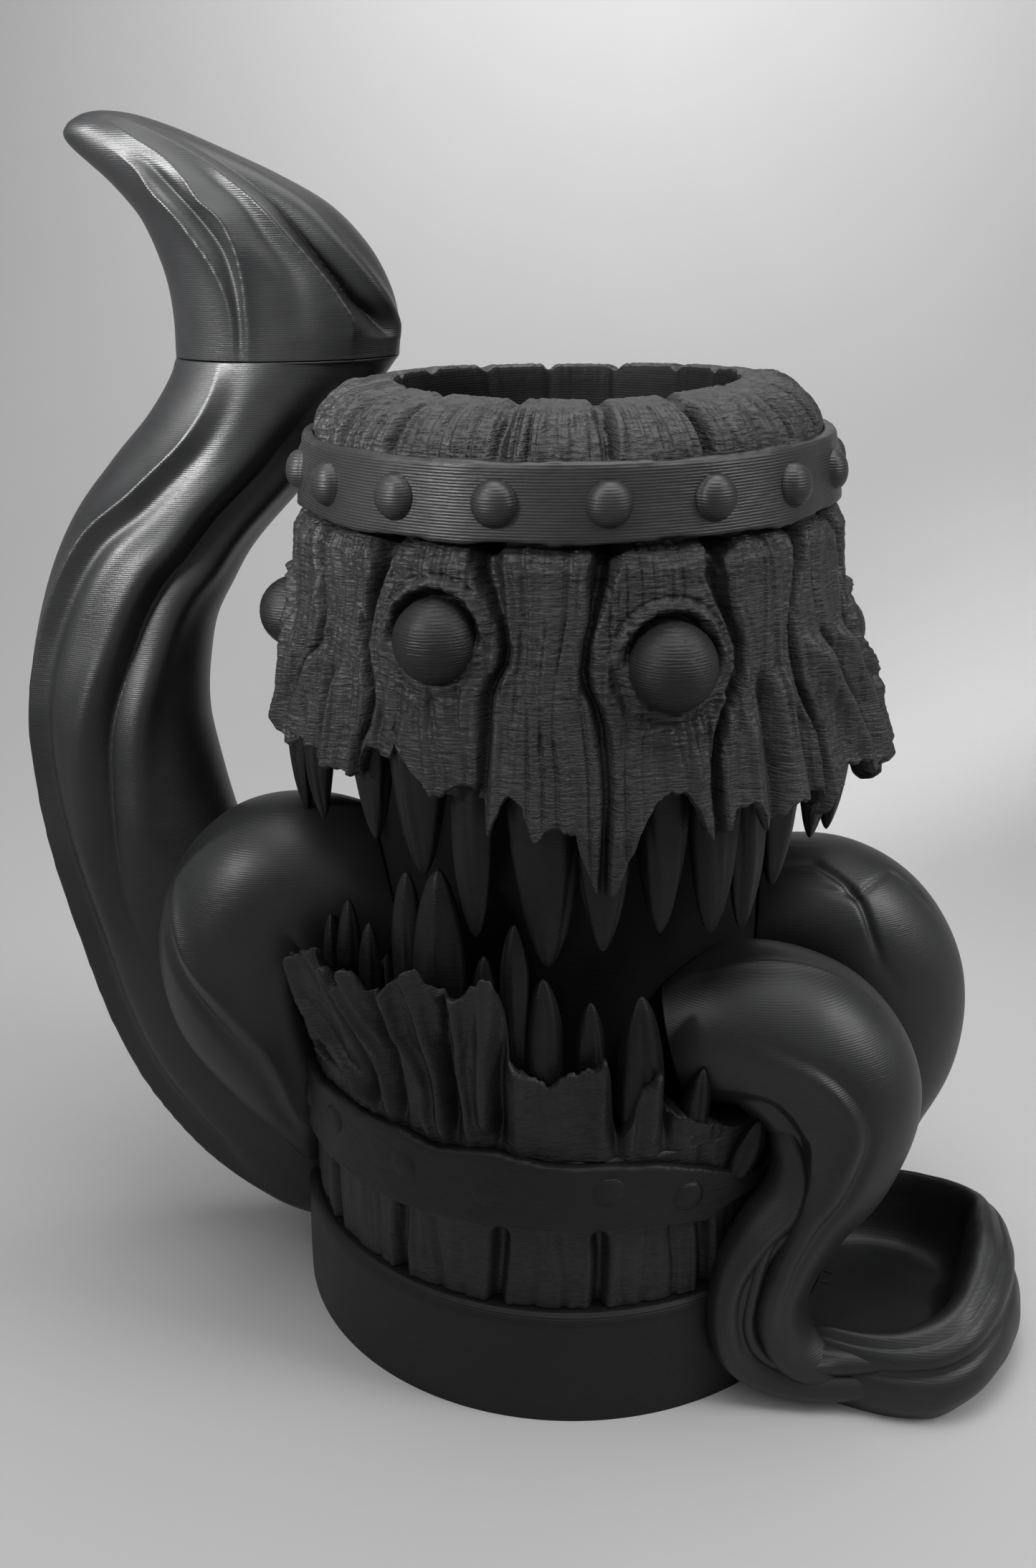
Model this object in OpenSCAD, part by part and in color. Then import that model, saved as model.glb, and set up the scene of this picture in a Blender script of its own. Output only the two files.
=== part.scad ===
// Dice tower in the shape of a toothed wooden tankard.
// Dice dropped in at the rim fall down the throat tube over three baffle shelves,
// slide down the exit ramp and roll out of the doorway into the tongue-shaped tray.
// +Z is up, the origin is on the barrel's axis at the floor, the mouth faces -Y.

/* [Base] */
// Outer radius of the base ring at the floor
ring_r = 58; // [57.5:0.25:58.5]
// Height of the base ring
ring_h = 24; // [23:0.5:24]

/* [Barrel] */
// Height of the crest of the rim
rim_z = 191.5; // [190.5:0.5:192]
// Inner radius of the opening at the rim
mouth_r = 31.3; // [30:0.1:32]
// Number of rivets that a full hoop would hold
rivets = 17; // [15:1:18]
// Outer radius of the throat tube
tube_r = 39; // [38.5:0.1:39]
// Wall of the throat tube
tube_wall = 3; // [2.4:0.2:3.6]

/* [Dice path] */
// Direction that the doorway faces, in degrees from +X
door_az = -20; // [-22:1:-18]
// Width of the doorway
door_w = 32; // [30:1:34]
// Height of the top of the doorway above the floor
door_top = 42; // [40:1:42]
// Slope of the baffle shelves in degrees
baffle_tilt = 32; // [28:1:34]

/* [Horn] */
// Radius of the peg under the horn tip
peg_r = 9; // [8:0.5:9.5]
// Length of the peg
peg_h = 12; // [10:1:13]
// Radial running clearance of the peg in its socket
peg_gap = 0.08; // [0.05:0.01:0.1]

/* [Hidden] */
wood = "#2b2c2e";
band = "#26282a";
skin = "#222426";
bone = "#28292b";
tube_in = tube_r - tube_wall;
lhoop_z0 = 41;              // lower hoop
lhoop_z1 = 57;
uhoop_z0 = 169.5;           // upper hoop
uhoop_z1 = 181.8;
seam_z = 192.6;             // flat joint between handle and horn tip
horn_c = [-56, 27];         // middle of that joint
jaw_seam = 92;              // where upper and lower staves meet at the back
shelf_up = 126.5;           // ledge that the fangs hang from
shelf_low = 64;             // ledge that the lower teeth stand on

// ---------- curves ----------
function pos(v) = [v[0], v[1], v[2]];
function unit(v) = v / norm(v);
function lerp(a, b, t) = a + (b - a) * t;
function cr(p, q, r, s, t) = 0.5 * (2 * q + (r - p) * t + (2 * p - 5 * q + 4 * r - s) * t * t
                                    + (3 * q - p - 3 * r + s) * t * t * t);
// smooth open curve through the rows of P, k steps a span
function curve(P, k) = let (m = len(P)) [
    for (i = [0 : m - 2]) for (j = [0 : k - 1])
        cr(P[max(i - 1, 0)], P[i], P[i + 1], P[min(i + 2, m - 1)], j / k),
    P[m - 1]];
function tangent(C, i) = unit(pos(C[min(i + 1, len(C) - 1)]) - pos(C[max(i - 1, 0)]));
// closed table lookup: rows [angle, value...], angle wraps at 360
function around(T, a) = let (m = len(T), w = (a % 360 + 360) % 360,
    i = max([for (k = [0 : m - 1]) if (T[k][0] <= w) k]),
    p = T[i], q = i + 1 < m ? T[i + 1] : [360, T[0][1], T[0][2]],
    t = (w - p[0]) / (q[0] - p[0]), s = t * t * (3 - 2 * t)) lerp(p, q, s);
// saw-toothed edge of broken staves, 0 to 1
function saw(a, n) = let (u = a * n / 360, f = u - floor(u)) f < 0.62 ? f / 0.62 : (1 - f) / 0.38;

// ---------- solids from rings of points ----------
function flat2(L) = [for (r = L) each r];
// tube through rings R of n points, closed at both ends by a middle point
module closed_tube(R, c0, c1) {
    n = len(R[0]);
    m = len(R);
    pts = concat(flat2(R), [c0, c1]);
    faces = concat(
        [for (i = [0 : m - 2]) for (j = [0 : n - 1]) let (k = (j + 1) % n)
            each [[i * n + j, (i + 1) * n + j, (i + 1) * n + k], [i * n + j, (i + 1) * n + k, i * n + k]]],
        [for (j = [0 : n - 1]) [m * n, j, (j + 1) % n]],
        [for (j = [0 : n - 1]) [m * n + 1, (m - 1) * n + (j + 1) % n, (m - 1) * n + j]]);
    polyhedron(pts, faces);
}
// ring-shaped shell: rings R follow each other round the wall and close on the first
module shell(R) {
    n = len(R[0]);
    m = len(R);
    polyhedron(flat2(R), [for (i = [0 : m - 1]) for (j = [0 : n - 1])
        let (k = (j + 1) % n, h = (i + 1) % m)
            each [[i * n + j, h * n + j, h * n + k], [i * n + j, h * n + k, i * n + k]]]);
}
// flesh swept along rows [x, y, z, half width across, half width along side],
// side is the direction that stays level in every section
module flesh(P, k, n, side, top = [0, 0, 0]) {
    C = curve(P, k);
    m = len(C);
    T = [for (i = [0 : m - 1]) (i == m - 1 && norm(top) > 0) ? top : tangent(C, i)];
    N = [for (i = [0 : m - 1]) unit(cross(side, T[i]))];
    B = [for (i = [0 : m - 1]) unit(cross(T[i], N[i]))];
    R = [for (i = [0 : m - 1]) [for (j = [0 : n - 1]) let (a = j * 360 / n)
        pos(C[i]) + N[i] * C[i][3] * cos(a) + B[i] * C[i][4] * sin(a)]];
    closed_tube(R, pos(C[0]), pos(C[m - 1]));
}
function polar(r, a, z) = [r * sin(a), -r * cos(a), z];   // a = 0 faces -Y, + towards +X

// ---------- base ----------
module doorway(w, z0, z1, r0, r1) {
    rotate([0, 0, door_az]) translate([r0, -w / 2, z0]) cube([r1 - r0, w, z1 - z0]);
}
module base_ring() color(skin) difference() {
    rotate_extrude($fn = 96) polygon([[52, 0], [ring_r, 0], [ring_r - 0.6, ring_h - 1.6],
                                      [ring_r - 2.2, ring_h], [52, ring_h]]);
    doorway(door_w, 5, ring_h + 1, 40, 70);
}
module floor_disc() color(skin) cylinder(r = 51.9, h = 4, $fn = 96);

// ---------- lower barrel ----------
// outline of the staves: a groove every third of the way round a twelfth
function stave_r(a, r) = r - 0.9 * pow(max(0, cos(a * 14)), 8);
module lower_barrel() color(wood) difference() {
    translate([0, 0, ring_h]) linear_extrude(lhoop_z1 - ring_h) difference() {
        polygon([for (i = [0 : 167]) let (a = i * 360 / 168)
            stave_r(a, 55.4) * [cos(a), sin(a)]]);
        circle(r = 51, $fn = 96);
    }
    doorway(door_w, ring_h - 1, door_top, 40, 70);
}
module lower_hoop() color(band) difference() {
    rotate_extrude($fn = 96) polygon([[55.5, lhoop_z0], [56.9, lhoop_z0], [57.1, lhoop_z1 - 0.4],
                                      [56.7, lhoop_z1], [55.5, lhoop_z1]]);
    doorway(door_w, lhoop_z0 - 1, door_top, 40, 70);
}
module rivet(r) rotate([0, 90, 0]) rotate_extrude($fn = 32)
    polygon([[0, 0], [r, 0], [r * 0.94, r * 0.32], [r * 0.76, r * 0.6], [r * 0.45, r * 0.78],
             [0, r * 0.85]]);
module lower_hoop_rivets() color(band)
    for (i = [0 : rivets - 1]) let (a = -90 - 13.5 + i * 360 / rivets)
        if (abs(a + 90 - 61) > 21 && abs(a - door_az) > 18 && abs(a - 5) > 22 && abs(a - 185) > 25)
            rotate([0, 0, a]) translate([57.15, 0, 49]) rivet(3.6);

// ---------- lower jaw ----------
// rows [angle, rim height, flare]; angle 0 faces -Y
jaw_rim = [[0, 82, 3.5], [26, 76, 3], [38, 62, 1], [48, 57.8, 0], [74, 57.8, 0], [128, 57.8, 0],
           [142, 91.7, 0.5], [222, 91.7, 0.5], [236, 57.8, 0], [284, 62, 1.5], [296, 80, 5],
           [318, 86, 5.5], [340, 84, 4.5]];
function jaw_z(a) = let (t = around(jaw_rim, a)) max(57.7, t[1] - (t[2] > 1.2 ? 7 * saw(a, 24) : 0));
function jaw_flare(a) = around(jaw_rim, a)[2];
function jaw_out(a, z) = 55.4 + jaw_flare(a) * pow(max(0, (z - lhoop_z1)) / 30, 1.5)
                              - 0.8 * pow(max(0, cos(a * 14)), 8);
jn = 96;
module lower_jaw() {
    z0 = lhoop_z1 + 0.05;
    function row(f, s, d) = [for (i = [0 : jn - 1]) let (a = i * 360 / jn, z = lerp(z0, jaw_z(a), f))
        polar(jaw_out(a, z) - d, a, z)];
    function ledge(a) = min(shelf_low, jaw_z(a) - 0.3);
    function inn(r, f) = [for (i = [0 : jn - 1]) let (a = i * 360 / jn)
        polar(r, a, lerp(z0, ledge(a), f))];
    function over(d) = [for (i = [0 : jn - 1]) let (a = i * 360 / jn)
        polar(max(46.6, jaw_out(a, ledge(a)) - d), a, ledge(a) + 0.02)];
    color(wood) resize([0, 0, 0]) difference() {
        shell([row(0, 0, 0), row(0.35, 0, 0), row(0.7, 0, 0), row(1, 0, 0), row(1, 0, 1.6),
               over(2.2), inn(46.5, 1), inn(46.5, 0)]);
        for (t = low_teeth) low_tooth(t, 0.12);
    }
}
// rows [angle, radius of place, height of tip, radius, foot height or 0 for the ledge]
low_teeth = [[-62, 52, 92, 2.4, 0], [-54, 51.5, 98, 3.7, 0], [-45, 52, 96.5, 2.6, 0],
             [-34.5, 51.2, 110, 3.4, 0], [-26, 51, 112, 5, 0], [-16.5, 51.3, 97, 2.8, 0],
             [-9.5, 51.4, 103, 3.6, 0], [-2.5, 51.4, 93, 3.6, 0], [5.5, 51.6, 90, 3.4, 0],
             [15, 51.3, 91, 4.2, 0], [31, 51.8, 75, 3.9, 60.5]];
module tooth(r, h) rotate_extrude($fn = 24)
    polygon([[0, 0], [r, 0], [r * 0.98, h * 0.3], [r * 0.84, h * 0.55], [r * 0.6, h * 0.76],
             [r * 0.3, h * 0.92], [r * 0.08, h], [0, h]]);
module low_tooth(t, grow = 0) let (z0 = (t[4] > 0 ? t[4] : shelf_low + 0.15) - grow)
    rotate([0, 0, t[0]]) translate([0, -t[1], z0]) tooth(t[3] + grow, t[2] - z0 + grow);
module lower_teeth() color(bone) for (t = low_teeth) low_tooth(t);

// ---------- throat and dice path ----------
tube_z0 = 4.1;
module throat_tube() color(skin) difference() {
    translate([0, 0, tube_z0]) cylinder(r = tube_r, h = 176 - tube_z0, $fn = 96);
    translate([0, 0, tube_z0 - 1]) cylinder(r = tube_in, h = 176, $fn = 96);
    doorway(door_w, tube_z0 - 1, door_top + 4, 10, 60);
    // rear notch for the back of the ramp
}
// a sloped shelf that leaves a gap on one side; flip = 180 slopes the other way
module shelf(z, flip) rotate([0, 0, door_az + flip]) intersection() {
    translate([0, 0, z]) rotate([0, baffle_tilt, 0]) translate([-60, -50, -1.5]) cube([68, 100, 3]);
    cylinder(r = tube_in - 0.05, h = 190, $fn = 96);
}
module upper_baffle() color(skin) shelf(136, 0);
module middle_baffle() color(skin) shelf(104, 180);
module lower_baffle() color(skin) shelf(72, 0);
// chute: floor and two cheeks, from the far wall of the tube to the doorway
module exit_ramp() color(skin) rotate([0, 0, door_az]) difference() {
    intersection() {
        translate([0, door_w / 2 - 0.2, 0]) rotate([90, 0, 0]) linear_extrude(door_w - 0.4)
            polygon([[-30, 36], [-30, 4.2], [47.5, 4.2], [47.5, 5.6], [57.6, 5.6], [57.6, 8], [36, 13],
                     [36, 25], [0, 34], [-26, 50], [-30, 50]]);
        union() {
            cylinder(r = tube_in - 0.1, h = 60, $fn = 96);
            translate([0, -door_w / 2, 0]) cube([57.6, door_w, 60]);
        }
        cylinder(r = 57.5, h = 60, $fn = 96);
    }
    translate([0, door_w / 2 - 2.6, 0]) rotate([90, 0, 0]) linear_extrude(door_w - 5.2)
        polygon([[-31, 44], [36, 13], [57.7, 8], [60, 8], [60, 80], [-31, 80]]);
}

// ---------- upper head ----------
// rows [angle, lip height, lip radius]
lip = [[0, 113, 58], [30, 116, 59.5], [62, 117, 61.5], [95, 118.5, 61.5], [122, 116, 58], [142, 92.1, 55.6],
       [222, 92.1, 55.6], [238, 116, 57], [268, 119.5, 57.5], [300, 117, 59], [330, 119, 58.5]];
function lip_z(a) = let (t = around(lip, a)) t[1] + (t[1] > 110 ? 6 * saw(a + 4, 22) - 2 : 0);
function head_r(a, z) = let (t = around(lip, a), lr = t[2], lz = t[1] > 110 ? 122 : 92,
    r = z > 183 ? 47.2 - 0.14 * pow(z - 183, 1.9)
      : z > 168.5 ? 49.2 - 0.147 * (z - 168.5)
      : z > 165 ? lerp(51.2, 49.2, (z - 165) / 3.5)
      : let (f = min(1, (165 - z) / (165 - lz))) lerp(51.2, lr, pow(f, 1.5)))
    r - (z < 168 ? 0.9 : 0.6) * pow(max(0, cos(a * 9)), 10);
hn = 90;
module head_body() {
    function out(f) = [for (i = [0 : hn - 1]) let (a = i * 360 / hn, z = lerp(lip_z(a), 165, f))
        polar(head_r(a, z), a, z)];
    function ring(z, r) = [for (i = [0 : hn - 1]) polar(r, i * 360 / hn, z)];
    function skinz(z) = [for (i = [0 : hn - 1]) let (a = i * 360 / hn) polar(head_r(a, z), a, z)];
    function under(d, dz) = [for (i = [0 : hn - 1]) let (a = i * 360 / hn)
        polar(head_r(a, lip_z(a)) - d, a, lip_z(a) + dz)];
    function roof(r0) = [for (i = [0 : hn - 1]) let (a = i * 360 / hn)
        polar(min(r0, head_r(a, 126) - 2.6), a, max(shelf_up, lip_z(a) + 1))];
    function roof2() = [for (i = [0 : hn - 1]) let (a = i * 360 / hn) polar(44, a, max(shelf_up, lip_z(a) + 1))];
    shell([out(0), out(0.18), out(0.4), out(0.65), out(0.85), skinz(165), skinz(169), skinz(uhoop_z1 + 0.2),
           skinz(186), ring(189.6, 41.6), ring(rim_z - 0.3, 39), ring(rim_z, 36.5), ring(rim_z - 0.7, 33),
           ring(rim_z - 3, mouth_r), ring(180, mouth_r + 2), ring(176.1, tube_in), ring(176.1, tube_r + 0.1),
           ring(152, tube_r + 0.1), ring(146, 44), roof2(), roof(55), under(2.6, 0.4)]);
}
eye_fl = [-22.4, -47.2, 152.2];
eye_fr = [17.2, -50.4, 149];
eye_sl = [-52, -7, 148];
eye_sr = [50, -6, 144];
module upper_head() color(wood) resize([0, 0, 0]) difference() {
    head_body();
    translate(eye_fl) sphere(r = 6.85, $fn = 28);
    translate(eye_fr) sphere(r = 7.85, $fn = 28);
    translate(eye_sl) sphere(r = 7.15, $fn = 28);
    translate(eye_sr) sphere(r = 7.15, $fn = 28);
    for (t = fangs) fang(t, 0.12);
}
module eye_front_left() color(bone) translate(eye_fl) sphere(r = 6.6, $fn = 48);
module eye_front_right() color(bone) translate(eye_fr) sphere(r = 7.6, $fn = 48);
module eye_side_left() color(bone) translate(eye_sl) sphere(r = 6.9, $fn = 48);
module eye_side_right() color(bone) translate(eye_sr) sphere(r = 6.9, $fn = 48);
module upper_hoop() color(band) rotate_extrude($fn = 96)
    polygon([[49.3, uhoop_z0], [50.6, uhoop_z0], [50.7, uhoop_z0 + 0.6], [49, uhoop_z1 - 0.4],
             [48.6, uhoop_z1], [47.45, uhoop_z1]]);
module upper_hoop_rivets() color(band)
    for (i = [0 : rivets - 1]) let (a = -90 - 13.5 + i * 360 / rivets)
        if (i < 11 || i > 12)
            rotate([0, 0, a]) translate([49.75, 0, 175.6]) rotate([0, -8, 0]) translate([0.15, 0, 0]) rivet(3.9);
// rows [angle, radius of place, height of tip, radius]
fangs = [[-79, 52, 108, 3.6], [-62, 51.5, 112, 3.4], [-43, 50, 113, 4.4], [-30, 50, 109, 6], [-18, 50.5, 108, 3.6],
         [-4, 49.8, 95, 6.6], [9.5, 50.4, 97.5, 4.3], [20, 50.2, 99.5, 4.2], [31.5, 50, 95.5, 5], [47, 50.4, 103, 5],
         [62, 51, 108, 4], [79, 51.5, 104, 5], [95, 51.5, 110, 4], [111, 51, 109, 4.4], [-97, 51.5, 112.5, 4],
         [-113, 51, 109, 4.4]];
module fang(t, grow = 0) rotate([0, 0, t[0]]) translate([0, -t[1], shelf_up - 0.15 + grow])
    rotate([180, 0, 0]) tooth(t[3] + grow, shelf_up - 0.15 - t[2] + 2 * grow);
module upper_fangs() color(bone) for (t = fangs) fang(t);

// ---------- tongues ----------
// rows [x, y, z, half width, half depth]
loop_left = [[-36, -4, 84, 15, 17], [-48, -5, 91, 17, 18], [-59, -6, 91, 18, 18], [-66, -7, 81, 18, 18],
             [-66, -7, 66, 17, 17], [-61, -6, 50, 15, 15], [-58, -4, 37, 11, 12], [-57, -2, 27, 6, 8]];
loop_rear = [[34, 8, 72, 14, 15], [46, 8, 78, 16, 17], [58, 8, 75, 18, 18], [67, 8, 64, 18, 18],
             [69, 8, 48, 17, 17], [66, 10, 33, 15, 16], [64, 12, 20, 13, 14]];
loop_front = [[22, -30, 70, 14, 14], [34, -32, 73, 16, 16], [45, -34, 69, 17, 17], [52, -36, 59, 16.5, 17],
              [52, -39, 46, 14, 16], [47, -43, 33, 10.5, 13], [42, -45.5, 20, 9.5, 11], [40, -46, 8, 10, 9]];
// everything that the flesh must stay outside of
module barrel_room() {
    cylinder(r = ring_r + 0.15, h = ring_h + 0.2, $fn = 120);
    cylinder(r = 57.3, h = lhoop_z1 + 0.2, $fn = 120);
    cylinder(r = tube_r + 0.15, h = 180, $fn = 96);
    translate([0, 0, -40]) cube([400, 400, 80], center = true);
}
module below_floor() translate([-200, -200, -50]) cube([400, 400, 50.0]);
module tongue_left() color(skin) resize([0, 0, 0]) difference() {
    flesh(loop_left, 3, 24, [0, 1, 0]);
    barrel_room();
    lower_jaw();
}
module tongue_right_rear() color(skin) resize([0, 0, 0]) difference() {
    flesh(loop_rear, 3, 24, [0, 1, 0]);
    barrel_room();
    lower_jaw();
    tray_solid();
}
module tongue_right_front() color(skin) resize([0, 0, 0]) difference() {
    flesh(loop_front, 3, 24, [0.35, 0.94, 0]);
    barrel_room();
    lower_jaw();
    low_tooth(low_teeth[10], 0.1);
    tray_solid();
    tongue_right_rear_room();
}
module tongue_right_rear_room() flesh(loop_rear, 3, 24, [0, 1, 0]);

// ---------- tray ----------
tray_c = [70, -26];
// rows [direction from the tray's middle, outer radius, lip height]
tray_rim = [[0, 24.5, 29.5], [30, 25, 26], [60, 26, 23], [90, 27, 22], [120, 28, 22], [142, 32, 7], [160, 34, 7],
            [200, 36, 7], [212, 38, 12], [230, 34, 17], [258, 34, 16], [285, 33, 18], [312, 28.5, 23], [335, 25.5, 28.5]];
tn = 72;
tray_floor = 5;
// section rows [inset from the outer radius, share of the lip height, lowest height]
tray_sec = [[5, 0, 0], [1.5, 0.12, 0], [0, 0.35, 0], [0.3, 0.65, 0], [2, 0.9, 0], [4.5, 1, 0], [7, 0.95, 0],
            [8.5, 0.75, tray_floor], [9.5, 0.5, tray_floor], [12.5, 0, tray_floor]];
module tray_solid() {
    R = [for (s = tray_sec) [for (i = [0 : tn - 1]) let (a = i * 360 / tn, t = around(tray_rim, a), r = t[1] - s[0])
        [tray_c[0] + r * cos(a), tray_c[1] + r * sin(a), max(s[2], s[1] * t[2])]]];
    closed_tube(R, [tray_c[0], tray_c[1], 0], [tray_c[0], tray_c[1], tray_floor]);
}
module dice_tray() color(skin) resize([0, 0, 0]) difference() {
    tray_solid();
    cylinder(r = ring_r + 0.15, h = 80, $fn = 120);
    doorway(door_w - 2, 8, 44, 40, 66);
}

// ---------- handle and horn ----------
grip = [[-48, 3, 12, 9, 11], [-56, 4, 19, 15, 13], [-65, 5, 31, 20, 15], [-73, 7, 45, 22.5, 16], [-80, 9, 59, 22.5, 16],
        [-86, 11, 76, 22, 16], [-91, 13.5, 92, 21, 16], [-94, 16, 107, 20, 16], [-95.2, 17.5, 121, 19, 16],
        [-93.5, 19.5, 135, 18.2, 15.5], [-89, 21, 149, 17.4, 15.5], [-80, 23, 163, 17.4, 15.5],
        [-69, 24.5, 176, 19, 16], [-60, 26, 185.5, 21, 16.5], [horn_c[0], horn_c[1], seam_z, 22.4, 16.5]];
horn = [[horn_c[0], horn_c[1], seam_z + 0.2, 22.4, 16.5], [-55.9, 27, 201, 22.2, 16.5], [-57.2, 27, 208, 21.6, 16.2],
        [-60.9, 27, 214.5, 19.7, 15.5], [-65.9, 27, 219.8, 17, 14.5], [-72.3, 27, 224.6, 14, 12.5],
        [-79.5, 27, 228.6, 11, 10.5], [-86, 27, 231.6, 8.6, 8.5], [-91, 27, 233.7, 7, 7], [-94.6, 27, 235, 5, 5],
        [-96.8, 27, 235.7, 1.6, 2]];
module head_room() {
    rotate_extrude($fn = 120) polygon([[0, 90], [56.2, 90], [58.6, 117], [58.2, 122], [54.2, 148], [51.9, 163], [51.2, 169],
        [51, 170.4], [49.3, 182.2], [48, 183.6], [45.6, 187.6], [42.6, 190.2], [39.4, 191.6], [36.5, 191.9], [0, 191.9]]);
}
module handle() color(skin) difference() {
    resize([0, 0, 0]) difference() {
        flesh(grip, 2, 28, [0.1, 0.995, 0], [0, 0, 1]);
        translate([-200, -200, seam_z]) cube([400, 400, 50]);
        lower_jaw();
        barrel_room();
        head_room();
        below_floor();
        flesh(loop_left, 3, 24, [0, 1, 0]);
    }
    translate([horn_c[0], horn_c[1], seam_z - peg_h - 1]) cylinder(r = peg_r + peg_gap, h = peg_h + 2, $fn = 64);
}
module horn_tip() color(skin) flesh_from_bottom();
module flesh_from_bottom() {
    C = curve(horn, 2);
    m = len(C);
    n = 28;
    T = [for (i = [0 : m - 1]) i == 0 ? [0, 0, 1] : tangent(C, i)];
    N = [for (i = [0 : m - 1]) unit(cross([0, 1, 0], T[i]))];
    B = [for (i = [0 : m - 1]) unit(cross(T[i], N[i]))];
    R = [for (i = [0 : m - 1]) [for (j = [0 : n - 1]) let (a = j * 360 / n)
        pos(C[i]) + N[i] * C[i][3] * cos(a) + B[i] * C[i][4] * sin(a)]];
    closed_tube(R, pos(C[0]), pos(C[m - 1]));
}
module horn_peg() color(skin) translate([horn_c[0], horn_c[1], seam_z + 0.2 - peg_h])
    cylinder(r = peg_r, h = peg_h, $fn = 64);

base_ring();
floor_disc();
lower_barrel();
lower_hoop();
lower_hoop_rivets();
lower_jaw();
lower_teeth();
throat_tube();
upper_baffle();
middle_baffle();
lower_baffle();
exit_ramp();
upper_head();
upper_hoop();
upper_hoop_rivets();
eye_front_left();
eye_front_right();
eye_side_left();
eye_side_right();
upper_fangs();
tongue_left();
tongue_right_rear();
tongue_right_front();
dice_tray();
handle();
horn_tip();
horn_peg();
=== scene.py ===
import math
import bpy
import numpy as np
from mathutils import Matrix, Vector


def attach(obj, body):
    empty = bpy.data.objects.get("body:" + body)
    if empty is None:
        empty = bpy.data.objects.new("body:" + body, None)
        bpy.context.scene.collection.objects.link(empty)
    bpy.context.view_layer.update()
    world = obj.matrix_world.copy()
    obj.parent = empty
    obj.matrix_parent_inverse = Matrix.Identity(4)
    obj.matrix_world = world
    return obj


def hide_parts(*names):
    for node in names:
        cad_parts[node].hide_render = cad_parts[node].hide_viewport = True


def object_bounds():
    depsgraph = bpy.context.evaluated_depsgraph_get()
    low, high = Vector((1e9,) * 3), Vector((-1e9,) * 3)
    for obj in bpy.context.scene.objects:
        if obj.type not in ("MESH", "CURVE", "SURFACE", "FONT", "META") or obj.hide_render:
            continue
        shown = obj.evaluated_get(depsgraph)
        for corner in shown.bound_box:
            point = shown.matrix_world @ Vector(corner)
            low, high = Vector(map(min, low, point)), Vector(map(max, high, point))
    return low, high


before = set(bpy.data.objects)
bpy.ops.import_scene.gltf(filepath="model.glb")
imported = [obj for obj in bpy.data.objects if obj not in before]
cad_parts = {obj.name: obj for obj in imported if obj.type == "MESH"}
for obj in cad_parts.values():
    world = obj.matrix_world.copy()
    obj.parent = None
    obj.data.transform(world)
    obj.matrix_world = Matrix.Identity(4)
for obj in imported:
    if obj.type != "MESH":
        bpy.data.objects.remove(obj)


def plain_box():
    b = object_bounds()
    return [[float(v) for v in corner] for corner in b]


cad_box = plain_box()
scene = bpy.context.scene
MM = 0.001
PI = math.pi
rng = np.random.default_rng(7)

# ---------------------------------------------------------------- noise
def lattice(ix, iy, iz, seed):
    h = (ix.astype(np.uint32) * np.uint32(374761393) + iy.astype(np.uint32) * np.uint32(668265263)
         + iz.astype(np.uint32) * np.uint32(2246822519) + np.uint32((seed * 3266489917) & 0xFFFFFFFF))
    h ^= h >> np.uint32(13)
    h *= np.uint32(1274126177)
    h ^= h >> np.uint32(16)
    return h.astype(np.float64) / 2147483647.5 - 1.0


def noise(x, y, z, seed=0):
    x, y, z = np.broadcast_arrays(x, y, z)
    fx, fy, fz = np.floor(x), np.floor(y), np.floor(z)
    ix, iy, iz = (v.astype(np.int64) & 0xFFFFFFFF for v in (fx, fy, fz))
    tx, ty, tz = x - fx, y - fy, z - fz
    sx, sy, sz = (t * t * t * (t * (t * 6 - 15) + 10) for t in (tx, ty, tz))
    out = 0.0
    for dx in (0, 1):
        for dy in (0, 1):
            for dz in (0, 1):
                w = (sx if dx else 1 - sx) * (sy if dy else 1 - sy) * (sz if dz else 1 - sz)
                out = out + w * lattice((ix + dx) & 0xFFFFFFFF, (iy + dy) & 0xFFFFFFFF, (iz + dz) & 0xFFFFFFFF, seed)
    return out


def fbm(x, y, z, seed=0, octaves=3):
    s, a, f = 0.0, 1.0, 1.0
    for k in range(octaves):
        s = s + a * noise(x * f, y * f, z * f, seed + 17 * k)
        a *= 0.5
        f *= 2.03
    return s


def smooth(t):
    t = np.clip(t, 0, 1)
    return t * t * (3 - 2 * t)


def bump(d, w):
    return np.exp(-(d / w) ** 2)


def wrap180(a):
    return (a + 180.0) % 360.0 - 180.0


def around(rows, a, col):
    """Value of a table's column at angle a, with the table repeating every 360 degrees."""
    rows = np.asarray(rows, float)
    x = rows[:, 0]
    xs = np.concatenate([x - 360, x, x + 360])
    ys = np.concatenate([rows[:, col]] * 3)
    k = np.clip(np.searchsorted(xs, a % 360, side="right") - 1, 0, len(xs) - 2)
    t = (a % 360 - xs[k]) / (xs[k + 1] - xs[k])
    t = t * t * (3 - 2 * t)
    return ys[k] + (ys[k + 1] - ys[k]) * t


def polar(r, a, z):
    a = np.radians(a)
    return np.stack(np.broadcast_arrays(r * np.sin(a), -r * np.cos(a), z), -1)


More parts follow.
